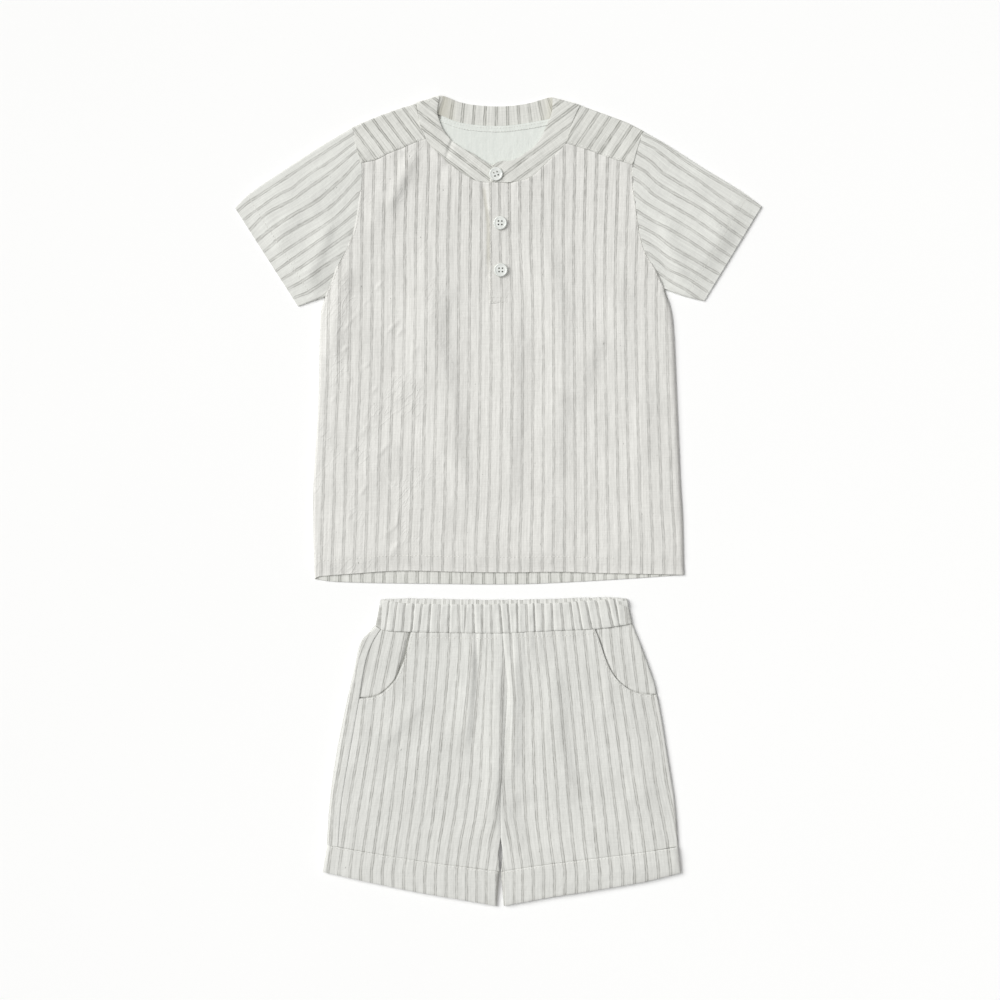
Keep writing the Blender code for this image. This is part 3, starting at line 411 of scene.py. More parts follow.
def stripeStrength(tree, place, across, fill):  # 1 on a stripe's lines where they are whole, 0 off them
    drift = maths(tree, "MULTIPLY_ADD", noiseOn(tree, place, weave["drift"]), 0.06, -0.03)
    wobble = maths(tree, "MULTIPLY_ADD", noiseOn(tree, place, weave["wobble"]), 0.1, -0.05)
    number = maths(tree, "ADD", across, maths(tree, "ADD", drift, wobble))
    part = maths(tree, "FRACT", maths(tree, "ADD", number, 0.5))
    away = maths(tree, "ABSOLUTE", maths(tree, "SUBTRACT", part, 0.5))
    off = maths(tree, "ABSOLUTE", maths(tree, "MULTIPLY_ADD", away, stripePitch, -weave["lineAside"]))
    lines = fall(tree, off, *weave["lineEdge"])
    between = fall(tree, maths(tree, "MULTIPLY", away, stripePitch), *weave["betweenEdge"])
    mask = maths(tree, "MAXIMUM", lines, maths(tree, "MULTIPLY", between, fill))
    broken = ramp(tree, noiseOn(tree, place, weave["broken"], 3.0, 0.65), 0.3, 0.62)
    faded = maths(tree, "MULTIPLY_ADD", noiseOn(tree, place, weave["faded"]), 0.9, 0.55)
    return product(tree, mask, maths(tree, "MULTIPLY_ADD", broken, 0.44, 0.16), faded)


def crinkleHeight(tree, place, across):  # fine slanting creases, in patches on the left of the shirt
    turned = addNode(tree, "ShaderNodeMapping", None,
                     {"Vector": place, "Rotation": (0, 0, math.radians(weave["crinkleTurn"]))})
    ridges = noiseOn(tree, turned.outputs[0], weave["crinkle"])
    fine = maths(tree, "ABSOLUTE", maths(tree, "MULTIPLY_ADD", ridges, 18.0, -9.0))
    fine = maths(tree, "MAXIMUM", maths(tree, "SUBTRACT", 1.0, fine), 0.0)
    where = ramp(tree, noiseOn(tree, place, weave["crinklePatches"]), 0.5, 0.62)
    leftPart = ramp(tree, maths(tree, "MULTIPLY", across, -1.0), *weave["crinkleStripes"])
    return product(tree, fine, where, leftPart)


def clothMaterial(name, light, dark, line=None, depth=1.0, fill=0.45, crinkle=0.0, darkerAbove=0.0,
                  shade=None):
    # woven cotton and linen, matt: uneven yarns both ways, and stripes of two fine lines 1.7 mm apart
    made = bpy.data.materials.new(name)
    made.use_nodes = True
    tree = made.node_tree
    shader = tree.nodes["Principled BSDF"]
    uv = addNode(tree, "ShaderNodeUVMap", {"uv_map": "cloth"}).outputs[0]
    across, along = addNode(tree, "ShaderNodeSeparateXYZ", None, {0: uv}).outputs[:2]
    place = stretched(tree, uv, stripePitch, stripePitch)    # millimetres
    warp = noiseOn(tree, place, weave["warp"], 4.0, 0.65)
    weft = noiseOn(tree, place, weave["weft"], 3.0, 0.6)
    tone = maths(tree, "MULTIPLY_ADD", warp, 0.75, maths(tree, "MULTIPLY", weft, 0.3))
    tone = maths(tree, "MULTIPLY_ADD", noiseAt(tree, place, weave["patches"]), 0.2, tone)
    colour = mixColour(tree, ramp(tree, tone, *weave["toneRange"]), srgb(dark), srgb(light))
    if line:
        strength = maths(tree, "MULTIPLY", stripeStrength(tree, place, across, fill), depth)
        if darkerAbove:    # the stripes are darker towards the yokes
            above = ramp(tree, maths(tree, "MULTIPLY", along, stripePitch), 150, 285)
            strength = product(tree, strength, maths(tree, "MULTIPLY_ADD", above, darkerAbove, 1.0))
        colour = mixColour(tree, strength, colour, srgb(line))
        slub = ramp(tree, noiseOn(tree, place, weave["slub"], 1.0), *weave["slubRange"])
        colour = mixColour(tree, product(tree, slub, weave["slubShare"]), colour, srgb(weave["slubColour"]))
    # painted shade: the colour is mixed towards the shade colour where the given shade mask asks
    if shade:
        where = addNode(tree, "ShaderNodeTexCoord").outputs["Object"]
        share = shade(tree, addNode(tree, "ShaderNodeSeparateXYZ", None, {0: where}))
        colour = mixColour(tree, share, colour, srgb(weave["shade"]))
    tree.links.new(colour, shader.inputs["Base Color"])
    crossing = noiseOn(tree, place, weave["crossThread"])
    threads = maths(tree, "ADD", noiseOn(tree, place, weave["thread"]), crossing)
    thread = addNode(tree, "ShaderNodeBump", None, {"Height": threads, "Strength": 0.35, "Distance": 0.0002})
    crumple = noiseOn(tree, place, weave["crumple"], 3.0, 0.6)
    if crinkle:
        crumple = maths(tree, "MULTIPLY_ADD", crinkleHeight(tree, place, across), crinkle, crumple)
    creased = addNode(tree, "ShaderNodeBump", None,
                      {"Height": crumple, "Strength": 0.5, "Distance": 0.0012, "Normal": thread.outputs[0]})
    tree.links.new(creased.outputs[0], shader.inputs["Normal"])
    tree.links.new(maths(tree, "MULTIPLY_ADD", warp, 0.15, 0.78), shader.inputs["Roughness"])
    shader.inputs["Sheen Weight"].default_value = 0.15
    shader.inputs["Sheen Roughness"].default_value = 0.5
    shader.inputs["Specular IOR Level"].default_value = 0.25
    return made


# one cloth in several copies, each in the tone its piece shows, so their differences are partly the cloth's
# own tone and partly painted light and shade
# the front's cloth carries painted shade along the placket's open edge
bodyCloth = clothMaterial("striped_cotton_linen", "ECEBE6", "D8D7D2", "A09F9A", 1.02, 0.6, crinkle=0.3,
                          darkerAbove=0.4, shade=slitPaintedShade)
sleeveCloth = clothMaterial("striped_cotton_linen_sleeves", "E8E9E3", "D8D8D3", "9C9B95", 1.08, 0.55)
yokeCloth = clothMaterial("striped_cotton_linen_yokes", "E9E9E3", "D0D0CA", "8D8D86", 1.3)
# the collar's cloth carries painted shade inside its two folds
collarCloth = clothMaterial("striped_cotton_linen_collar", "E9E9E3", "D0D0CA", "8D8D86", 1.3,
                            shade=collarPaintedShade)
shortsCloth = clothMaterial("striped_cotton_linen_shorts", "E6E6E1", "D5D5D0", "989791", 1.18)
plainCotton = clothMaterial("plain_white_cotton", "E5E8E2", "DFE3DD")
sewingThread = clothMaterial("cream_sewing_thread", "F1F0EA", "E6E5DF")
# the thread under each button is painted grey as the shade seen through its holes
shankThreadHoleShade = clothMaterial("grey_shank_thread", "8E8E88", "7E7E79")


def finishMesh(name, bm, material):
    mesh = bpy.data.meshes.new(name)
    bm.to_mesh(mesh)
    bm.free()
    mesh.shade_smooth()
    made = bpy.data.objects.new(name, mesh)
    bpy.context.scene.collection.objects.link(made)
    mesh.materials.append(material)
    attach(made, "root")
    return made


def clothSheet(name, points, uv, wall, material, closed=False, folded=False):
    # rows of points make a grid and a shell under it; closed joins its last column to its first, and folded
    # joins the columns that are there twice and has the shell on both sides
    rows, columns = points.shape[:2]
    bm = bmesh.new()
    bmesh.ops.create_grid(bm, x_segments=columns - 1, y_segments=rows - 1, size=1)
    order = np.array([(round((v.co.y + 1) / 2 * (rows - 1)), round((v.co.x + 1) / 2 * (columns - 1)))
                      for v in bm.verts])
    for vert, (j, i) in zip(bm.verts, order):
        vert.co = Vector(points[j, i]) * mm
    layer = bm.loops.layers.uv.new("cloth")
    for face in bm.faces:
        for loop in face.loops:
            j, i = order[loop.vert.index]
            loop[layer].uv = uv[j, i]
    if closed or folded:
        bmesh.ops.remove_doubles(bm, verts=bm.verts, dist=0.00001)
        bmesh.ops.recalc_face_normals(bm, faces=bm.faces)
    elif sum(f.normal.z * f.calc_area() for f in bm.faces) < 0:
        bmesh.ops.reverse_faces(bm, faces=bm.faces)
    made = finishMesh(name, bm, material)
    shell = made.modifiers.new("shell", "SOLIDIFY")
    shell.thickness = wall * mm
    shell.offset = 0.0 if folded else -1.0
    return made


armLeft, armRight = smoothLine(armholeLeft), smoothLine(armholeRight)
edgeLeft, edgeRight = smoothLine(sideLeft), smoothLine(sideRight)
yokeLineLeft, yokeLineRight = smoothLine(yokeSeamLeft), smoothLine(yokeSeamRight)
neckLine = smoothLine(neckline)
hemLine = smoothLine(frontHem)
waistLine = smoothLine(waistBottom)

shirtFront = {
    "wall": 0.5, "cell": 1.55, "edgeHeight": 0.9, "topHeight": 4.0, "edgeReach": 6, "turnShare": 0.72,
    "waves": ((0.4, 38, 1.5), (0.16, 13, 7.5)), "foldDepth": 2.0,
    "folds": [
        ([(-14, -20), (-25, 0), (-36, 40), (-39, 68), (-43, 97), (-53.5, 136), (-51, 159),
          (-39, 198)], 1.0, 22, 8),
        ([(-1, -14), (8.5, 6), (11, 57), (12, 80), (14, 114), (13.5, 142), (13, 172)], 0.9, 22, 8),
        ([(47.5, 0), (49, 46), (52, 85), (52, 125), (49, 170), (43, 204), (39, 232)], 0.8, 15, 8),
        ([(66, 80), (75, 114), (86, 146)], 0.6, 14, 7),
        ([(105, 70), (103, 142), (100, 210)], 0.45, 12, 8),
        ([(-143, 110), (-138, 159), (-129, 205)], 1.2, 8, 8),
        ([(-86, 66), (-77, 91), (-66, 142), (-61, 182), (-52, 232)], 0.8, 12, 22),
        ([(-98, 240), (-92, 253), (-80, 278), (-71, 299)], 1.0, 6, 6),
        ([(-108, 225), (-103, 250), (-96, 275)], 0.5, 6, 6),
        ([(-110, 0), (-109, 20), (-106, 55)], 0.5, 14, 10),
        ([(-93, -57), (-91, -46), (-82, -36)], 0.22, 2.5, 2),
        ([(120, 20), (122, 60), (126, 110)], 0.5, 10, 9),
        ([(40, -50), (44, -20), (46, 10)], 0.4, 12, 9),
    ],
    "hemHeight": 1.6, "hemPress": 0.8, "hemReach": 16, "hemDepth": 13, "hemGroove": 0.12,
    "crinkleHeight": 0.5, "crinkleChange": 0.16, "crinkleWidths": (1.5, 0.9), "crinkleReach": 18,
    "endRaise": 0.5, "bandRaise": 0.45,    # up to the collar band, at its outer end and along its right part
    "opening": [(-12.5, 266), (-11, 252.7), (-8.8, 236), (-8.7, 191)],
    "openingDepth": 1.2, "openingWidth": 1.4,
    # seam, reach, length of a wave, seed and height
    "puckers": ((yokeLineLeft, 9, 7, 3.1, 0.9), (yokeLineRight, 8, 7, 4.1, 0.7), (neckLine, 12, 8, 8.1, 0.9),
                (armLeft, 5, 8, 5.1, 0.5), (armRight, 5, 8, 6.1, 0.5)),
    # short sharp creases on the left
    "crinkles": [
        [(-133.5, 141.5), (-126, 151.5), (-118.5, 160.5)], [(-133.5, 125.5), (-126.5, 132)],
        [(-115.5, 165), (-108.5, 173)], [(-97, 140), (-90, 147.5), (-82.5, 155)],
        [(-105, 178.5), (-98.5, 185.5)], [(-83.5, 181), (-78, 189)], [(-86, 139), (-81.5, 146)],
        [(-148, 122), (-143.5, 127.5)], [(-118.5, 53), (-115, 58), (-111, 64)],
        [(-115.5, 112), (-109.5, 116.5)], [(-77, 75.5), (-72, 84.5)], [(-128, 37), (-121.5, 47)],
        [(-103, 37), (-93, 48.5)], [(-134.5, 18), (-130, 26)],
        [(-99, -30.5), (-92, -26), (-86, -20), (-85.5, -6.5)], [(-92, -44), (-83, -34.5)],
        [(-128, 100.5), (-124, 105)], [(-108, 90.5), (-103, 97)], [(-93.5, 167.5), (-89, 173.5)],
        [(-143, 82), (-138.5, 88.5)], [(-118, 3.5), (-113, 12)], [(-74, 124.5), (-67, 133)],
        [(-129, -18.5), (-125, -10)],
    ],
}
shirtBack = {"wall": 0.5, "cell": 3.2, "height": 0.75, "waves": (0.12, 30, 2.5), "hemGroove": 0.12}


def frontHeight(places, opened=True):
    p = shirtFront
    height = puffed(places, nearest(places, edgeLeft, edgeRight), p, p["edgeHeight"])[0]
    height -= seamDip(places, yokeLineLeft, yokeLineRight, neckLine)
    height += p["endRaise"] * bump(places[..., 0] - 12, 14) * bump(places[..., 1] - 270, 9)
    height += p["bandRaise"] * ease((places[..., 0] - 4) / 12) * bump(distance(neckLine, places), 5)
    height = hemmed(height, distance(hemLine, places), p)
    for n, path in enumerate(p["crinkles"]):
        line = np.array(path, float)
        near = np.linalg.norm(places - line.mean(axis=0), axis=-1) < p["crinkleReach"]
        aside, along = offsetFrom(line, places[near])
        sharp = p["crinkleHeight"] + p["crinkleChange"] * math.sin(n * 2.3)
        width = np.where(aside < 0, *p["crinkleWidths"])
        height[near] += sharp * ease(4 * along) * ease(4 - 4 * along) * bump(aside, width)
    if opened:  # the front sinks along the open edge of the placket
        height -= p["openingDepth"] * bump(distance(smoothLine(p["opening"]), places), p["openingWidth"])
    return height + sum(pucker(places, *row) for row in p["puckers"])


def makeShirtBody():
    p = shirtFront
    left, right = joined(sideLeft[::-1], armholeLeft[:1:-1]), joined(sideRight[::-1], armholeRight[:1:-1])
    u = np.r_[np.linspace(0, 0.33, 88), np.linspace(0.33, 1, 94)[1:]]    # finer where the cloth is crinkled
    places = patch(hemLine, joined(yokeSeamLeft, neckline, yokeSeamRight), left, right, p["cell"], u)
    points = withHeight(places, frontHeight(places))
    front = clothSheet("shirtFront", points, stripedUv(places, bodyStripes), p["wall"], bodyCloth)
    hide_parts("shirt_front")
    p = shirtBack
    left, right = joined(sideLeft[::-1], armholeLeft[::-1]), joined(sideRight[::-1], armholeRight[::-1])
    hem = smoothLine(backHem)
    places = patch(hem, joined(shoulderLeft, backNeck, shoulderRight), left, right, p["cell"])
    height = p["height"] + waves(places, p["waves"]) - p["hemGroove"] * bump(distance(hem, places), 1)
    uv = stripedUv(places, bodyStripes, 0.3)
    back = clothSheet("shirtBack", withHeight(places, height), uv, p["wall"], yokeCloth)
    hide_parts("shirt_back")


yoke = {
    "wall": 0.5, "cell": 1.6, "edgeHeight": 0.9, "topHeight": 4.1, "edgeReach": 6, "turnShare": 0.6,
    "waves": ((0.5, 14, 9.5),), "foldDepth": 0, "folds": [],
    # for each: direction, pitch and start of its stripes, seed of its puckers, raise at the neck
    "yokeLeft": (-53, 8.87, -0.3, 3.1, 0.0), "yokeRight": (56, 9.76, 0.35, 4.1, 0.4),
}


def makeYokes():
    for name, node, seam, shoulder, armhole, neck in (
            ("yokeLeft", "yoke_left", yokeSeamLeft, shoulderLeft, armholeLeft, yokeNeckLeft),
            ("yokeRight", "yoke_right", yokeSeamRight, shoulderRight, armholeRight, yokeNeckRight)):
        degrees, pitch, start, seed, neckRaise = yoke[name]
        outer, inner = smoothLine(armhole[2::-1]), smoothLine(neck)
        seam, shoulder = smoothLine(seam), smoothLine(shoulder)
        sides = (outer, inner) if node == "yoke_left" else (inner, outer)
        places = patch(seam, shoulder, *sides, yoke["cell"])
        height = puffed(places, distance(shoulder, places), yoke, yoke["edgeHeight"])[0]
        height += pucker(places, seam, 8, 7, seed, 0.8) - seamDip(places, seam)
        height += neckRaise * bump(distance(inner, places), 4)
        uv = slanted(places, degrees, pitch, start)
        made = clothSheet(name, withHeight(places, height), uv, yoke["wall"], yokeCloth)
        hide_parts(node)


# stripes drawn along the sleeves, from the top edge down
sleeveStripesLeft = [
    [(-223, 245.5), (-214.5, 252.5), (-203, 259.5), (-182, 273.5), (-160.5, 288), (-141, 300.5),
     (-123, 312)],
    [(-216, 239.5), (-206, 246.5), (-187.5, 259.5), (-176, 265), (-162, 276.5), (-143.5, 288),
     (-122.5, 304)],
    [(-212.5, 229.5), (-197.5, 244), (-176, 255), (-166.5, 262.5), (-143.5, 278.5), (-132.5, 288),
     (-121, 297.5)],
    [(-206, 220.5), (-194.5, 229.5), (-175, 242.5), (-155, 254), (-141, 266), (-129.5, 276.5),
     (-119.5, 288)],
    [(-199.5, 212), (-182, 225.5), (-158, 239.5), (-141, 251), (-129.5, 262.5), (-118, 276)],
    [(-194.5, 203.5), (-167.5, 221), (-149.5, 232.5), (-136.5, 242.5), (-119.5, 261)],
    [(-189, 195.5), (-160.5, 215.5), (-138, 231), (-120.5, 245.5)],
    [(-184, 188), (-165, 200), (-143.5, 215.5), (-122.5, 231)],
    [(-179, 180), (-160.5, 190), (-149.5, 198), (-131, 210)],
    [(-173.5, 172.5), (-159, 178.5), (-141, 191.5), (-135, 195.5)],
]
sleeveStripesRight = [
    [(123, 310), (139.5, 302), (159.5, 287.5), (179, 275.5), (200, 263.5), (223, 249.5)],
    [(120, 305.5), (132, 299.5), (145.5, 289), (167, 274), (185, 260.5), (203, 248), (218.5, 239)],
    [(117, 296), (129, 287.5), (138, 278.5), (147, 273), (170, 259), (192.5, 243.5), (213.5, 230)],
    [(114, 285), (124.5, 279), (135, 269.5), (152, 259), (170, 249), (188, 236), (207.5, 222.5)],
    [(114, 274), (123, 268), (132, 259), (150.5, 248), (167, 238.5), (185, 225.5), (201.5, 215)],
    [(114, 262), (124.5, 253), (138, 245), (153.5, 236), (170, 225.5), (185, 215), (197, 207.5)],
    [(117, 246), (130.5, 237.5), (145.5, 230), (161, 221), (176, 211), (192.5, 200.5)],
    [(119.5, 233), (133.5, 225.5), (145.5, 215.5), (159.5, 207.5), (173, 200), (186.5, 192.5)],
    [(121.5, 221), (133.5, 214), (144, 206), (158, 198.5), (170, 191.5), (181, 185)],
    [(127, 210.5), (136.5, 203), (144, 196), (161, 188), (176.5, 178)],
    [(135, 194), (145.5, 186.5), (159.5, 178.5), (173, 169.5)],
]
sleeve = {
    "wall": 0.5, "cell": 1.9, "edgeHeight": 1.3, "topHeight": 4.1, "edgeReach": 6, "turnShare": 0.5,
    "waves": ((0.4, 26, 12.5), (0.15, 9, 13.5)), "foldDepth": 1.9,
    "folds": [
        ([(-166, 176), (-152, 212), (-141, 246)], 0.9, 9, 6),
        ([(-196, 205), (-182, 228), (-170, 250)], 0.5, 9, 7),
        ([(160, 182), (146, 214), (138, 246)], 0.8, 6, 9),
        ([(196, 208), (186, 232), (176, 254)], 0.5, 7, 9),
    ],
    "hemHeight": 1.2, "hemPress": 0.85, "hemReach": 20, "hemDepth": 15, "hemGroove": 0.12,
    "underarmDip": 1.3, "seamTuck": 0.5,    # the armhole's edge lies a little under the front
}


def makeSleeves():
    for name, node, armhole, top, under, degrees, drawn in (
            ("sleeveLeft", "sleeve_left", armholeLeft, sleeveTopLeft, sleeveUnderLeft, 33.5,
             sleeveStripesLeft),
            ("sleeveRight", "sleeve_right", armholeRight, sleeveTopRight, sleeveUnderRight, -33,
             sleeveStripesRight)):
        inward = math.copysign(sleeve["seamTuck"], degrees)
        arm = smoothLine([(x + inward, y) for x, y in armhole])
        topLine, underLine = smoothLine([arm[0]] + top[1:]), smoothLine([arm[-1]] + under[1:])
        hem = np.linspace(topLine[-1], underLine[-1], 40)
        places = patch(arm, hem, topLine, underLine, sleeve["cell"])
        edge = nearest(places, topLine, underLine)
        height, rise = puffed(places, edge, sleeve, sleeve["edgeHeight"])
        underarm = bump(distance(arm, places), 7) * ease((206 - places[..., 1]) / 28)
        height -= rise * sleeve["underarmDip"] * underarm
        height = hemmed(height, distance(hem, places), sleeve, rise)
        height += pucker(places, arm, 5, 8, 5.1, 0.5) * rise
        lower = sleeve["edgeHeight"] - 1.2 * rounding(edge, 3)
        angle = math.radians(degrees)
        along = places[..., 0] * math.cos(angle) + places[..., 1] * math.sin(angle)
        uv = clothUv(numberBetween(places, drawn), along)
        points = aroundTube(withHeight(places, height), withHeight(places, lower))
        made = clothSheet(name, points, aroundTube(uv, uv), sleeve["wall"], sleeveCloth, closed=True)
        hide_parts(node)


# the collar band from its right end round the neck to its left end: seam x, seam y, free edge x, free edge y
bandRight = [(-8, 270, -5, 285), (1, 270, 2, 288), (9.5, 270, 10, 288.3), (18.5, 271.5, 17.5, 291.5),
             (28, 275, 23, 295.5), (37, 283.5, 30, 300.5), (46, 292, 36, 308.5),
             (57, 303.5, 41, 319.5), (63, 322.5, 45, 330)]
bandFoldRight = (69, 336, 46, 342.5)
bandBack = [(57, 329.3, 44.5, 342.6), (45, 324.3, 40, 342), (35, 322.3, 32, 339.5),
            (20.5, 319.8, 19, 336.5),
            (1, 317.8, 1, 335), (-20.5, 318.8, -19, 336), (-35, 321.3, -33, 338.5),
            (-48.5, 326.7, -45, 343), (-60.5, 331.2, -49.5, 343.8)]
bandFoldLeft = (-70.5, 337.5, -51, 344)
bandLeft = [(-67, 319, -52.5, 330), (-62, 307, -49, 318), (-57, 300.5, -45, 311.5),
            (-50, 293.5, -40, 305.5), (-40, 284, -31, 299), (-30, 277.5, -21.5, 294),
            (-20.5, 272, -12.5, 288), (-9.5, 270, -5, 284.5), (1, 270, 1, 283)]
collar = {
    "wall": 0.9, "cell": 0.8, "middle": 3.6,    # height of its middle on the front
    "step": 0.95, "overlap": 9.0, "slope": 16.0,    # its right end lies higher up to x = 9, then comes down
    "turnRadius": 1.5, "backRun": 118.0,    # its turns at the shoulders, and its length between them
    "backLifts": (0.3, 0.1, 0.1, 0.1, 0.1, 0.2, 0.5, 1.3, 2.0),    # of its back above the surface
    "across": (0, 0.03, 0.08, 0.16, 0.28, 0.42, 0.56, 0.7, 0.82, 0.9, 0.955, 0.985, 1),
    "crease": ((-39.5, 308), (-44.5, 294)), "creaseWidths": (3.0, 0.9), "waves": (0.15, 9, 91.5),
    "rightStripes": (37, 10.2, -0.41), "leftStripes": (-37.6, 8.7, -0.24), "backPitch": 9.6,
}


def foldStations(fold):  # where the band turns over, from its upper layer to its lower one
    radius, wall = collar["turnRadius"], collar["wall"]
    seam, free = np.array(fold[:2], float), np.array(fold[2:], float)
    along = (free - seam) / np.linalg.norm(free - seam)
    inward = np.array([along[1], -along[0]]) * (1 if along[0] > 0 else -1)
    made = []
    for degrees in (75, 40, 0, -40, -75):
        angle = math.radians(degrees)
        shift = inward * (radius + wall / 2 - radius * math.cos(angle))
        made.append([*(seam + shift), *(free + shift), wall / 2 + radius + radius * math.sin(angle)])
    return made


def makeCollar():
    p = collar
    stations = []
    for row in bandRight:
        over = float(ease(1 - (row[0] - p["overlap"]) / p["slope"]))
        stations.append([*row, p["middle"] + p["step"] * over])
    stations += foldStations(bandFoldRight)
    stations += [[*row, p["wall"] / 2 + lift] for row, lift in zip(bandBack, p["backLifts"])]
    stations += foldStations(bandFoldLeft)[::-1]
    stations += [[*row, p["middle"]] for row in bandLeft]
    line = smoothLine(stations, 8)
    run = runOf(np.c_[(line[:, :2] + line[:, 2:4]) / 2, line[:, 4]])
    even = np.linspace(0, run[-1], round(run[-1] / p["cell"]) + 1)
    line = np.stack([np.interp(even, run, line[:, k]) for k in range(5)], axis=1)
    across = np.array(p["across"])
    seam, free, height = line[:, None, :2], line[:, None, 2:4], line[:, None, 4]
    flat = seam + (free - seam) * across[None, :, None]
    crown = 0.25 * np.sin(np.pi * across) ** 0.7 - 0.06 * bump(across, 0.05) - 0.12 * bump(across - 1, 0.03)
    upper = height > 2
    tall = height + crown[None, :] * np.where(upper, 1, 0.5)
    aside = offsetFrom(np.array(p["crease"]), flat)[0]
    creased = waves(flat, p["waves"]) - bump(aside, np.where(aside < 0, *p["creaseWidths"]))
    tall = tall + np.where(upper, creased, 0)
    points = withHeight(flat, tall)
    width = np.linalg.norm(line[:, 2:4] - line[:, :2], axis=1)
    number = np.broadcast_to(even[:, None] / p["backPitch"] + 0.1, tall.shape)
    crosswise = clothUv(number, across[None, :] * width[:, None])
    low = np.flatnonzero(np.abs(even - run[-1] / 2) < p["backRun"] / 2)
    first, last = low[0], low[-1]
    points = np.concatenate([points[:first + 1], points[first:last + 1], points[last:]])
    uv = np.concatenate([slanted(flat[:first + 1], *p["rightStripes"]), crosswise[first:last + 1],
                         slanted(flat[last:], *p["leftStripes"])])
    made = clothSheet("collarBand", points.transpose(1, 0, 2), uv.transpose(1, 0, 2), p["wall"], collarCloth,
                      folded=True)
    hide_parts("collar")


neckTape = {
    "wall": 0.7, "cell": 0.9, "height": 2.45, "waves": (0.1, 8, 21.5), "above": 1.3, "below": 4.1,
    "line": [(-49, 325.8), (-35, 320.4), (-20.5, 317.9), (1, 316.9), (20.5, 318.9), (35, 321.4), (46, 323.6)],
}
neckFacing = {
    "wall": 0.5, "cell": 1.6, "height": 2.3, "waves": ((0.25, 22, 23.5), (0.08, 8, 25.5)),
    "top": [(-51, 324.9), (-43, 321.7), (-33, 318.4), (-20, 316.5), (-8, 315.8), (6, 315.8), (20, 317.5),
            (30, 319.2), (38, 320.7), (47, 322.4)],
    "foot": [(-51, 317), (-43, 300), (-33, 293.5), (-20, 286.5), (-8, 282), (6, 282), (20, 287), (30, 295),
             (38, 305), (47, 316)],
}


def makeNeckPieces():
    p = neckTape
    top = smoothLine([(x, y + p["above"]) for x, y in p["line"]])
    foot = smoothLine([(x, y - p["below"]) for x, y in p["line"]])
    places = strip(foot, top, p["cell"])
    height = p["height"] - 0.1 * bump(nearest(places, top, foot), 0.5) + waves(places, p["waves"])
    made = clothSheet("neckTape", withHeight(places, height), slanted(places, 90, stripePitch, 0), p["wall"],
                      plainCotton)
    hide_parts("neck_tape")
    p = neckFacing
    places = strip(smoothLine(p["foot"]), smoothLine(p["top"]), p["cell"])
    height = p["height"] + waves(places, *p["waves"])
    made = clothSheet("neckFacing", withHeight(places, height), slanted(places, 90, stripePitch, 0),
                      p["wall"], plainCotton)
    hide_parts("neck_facing")


placket = {
    "wall": 0.9, "cell": 1.0, "left": -8, "right": 9, "foot": 167, "top": 270,
    "above": 0.2, "leftRaise": 0.5, "openRaise": 0.35,    # over the front, to the left, and where it gapes
    "rightDip": 0.5, "leftDip": 0.15, "footDip": 0.6, "barDip": 0.22,    # at its edges and stitched bar
    "waves": (0.1, 12, 31.5),
}


def placketHeight(places):
    p = placket
    x, y = places[..., 0], places[..., 1]
    height = frontHeight(np.stack([x, np.minimum(y, 262)], axis=-1), opened=False)
    height += p["above"] + p["leftRaise"] * ease((p["right"] - x) / 16) + waves(places, p["waves"])
    height -= p["rightDip"] * bump(x - p["right"], 1.6) + p["leftDip"] * bump(x - p["left"], 0.6)
    height -= p["footDip"] * bump(y - p["foot"], 1.2) + p["barDip"] * bump(y - p["foot"] - 4.5, 0.7)
    return height + p["openRaise"] * ease((y - 190) / 10) * bump(x - p["left"], 4)


def makePlacket():
    p = placket
    foot, top = (np.linspace((p["left"], y), (p["right"], y), 10) for y in (p["foot"], p["top"]))
    places = strip(foot, top, p["cell"])
    points = withHeight(places, placketHeight(places))
    made = clothSheet("placketStrip", points, stripedUv(places, bodyStripes), p["wall"], bodyCloth)
    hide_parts("placket")


waistband = {
    "wall": 0.9, "cell": 1.5, "columns": 330, "edgeHeight": 1.9, "rise": 1.5, "endLoft": 1.3,
    "bulge": 1.2, "creaseDepth": 1.0, "waves": (0.5, 5, 41.5), "topDip": 0.5, "footDip": 0.4,
    "scallop": 0.9, "backScallop": 0.5,    # how far the gathers move the upper edges
    # gathers: x of each crease at the top and at the foot of the band, and its depth
    "creases": [
        (-99, -100.5, 0.3), (-92.5, -97, 1.0), (-86, -89.5, 0.4), (-79, -81.5, 0.3), (-71.5, -74, 1.3),
        (-64.5, -68, 0.4), (-57.5, -59.5, 1.0), (-49, -51, 0.3), (-41.5, -42.5, 1.1),
        (-33.5, -32.5, 0.4), (-27.5, -29.5, 0.3), (-21.5, -20.5, 1.2), (-13.5, -13.5, 0.5),
        (-6, -5.5, 0.3), (1, 3.5, 1.4), (8, 10, 1.0), (16, 16.5, 1.3), (24, 25, 0.3), (30, 31, 1.3),
        (38, 38.5, 0.3), (45.5, 46.5, 0.8), (53.5, 56, 0.3), (61, 64.5, 0.8), (66.5, 71.5, 1.1),
        (74, 80, 1.2), (83, 88, 0.6), (92, 98.5, 1.2), (98.5, 103, 1.2), (107.5, 110, 0.4),
    ],
}


def gatherAt(x, v, creases):  # the part between two creases that a place is in, and its bulge from 0 to 1
    lines = np.array([[a, b] for a, b, d in creases])
    depth = np.array([d for a, b, d in creases])
    at = lines[:, 0][:, None, None] * v + lines[:, 1][:, None, None] * (1 - v)
    n = np.clip((at < x[None]).sum(axis=0), 1, len(creases) - 1)
    low, high = np.take_along_axis(at, (n - 1)[None], 0)[0], np.take_along_axis(at, n[None], 0)[0]
    t = np.clip((x - low) / np.maximum(high - low, 0.1), 0, 1)
    deep = depth[n - 1] * (1 - t) + depth[n] * t
    return n - 1 + t, deep * (1 - np.abs(2 * t - 1) ** 8), deep


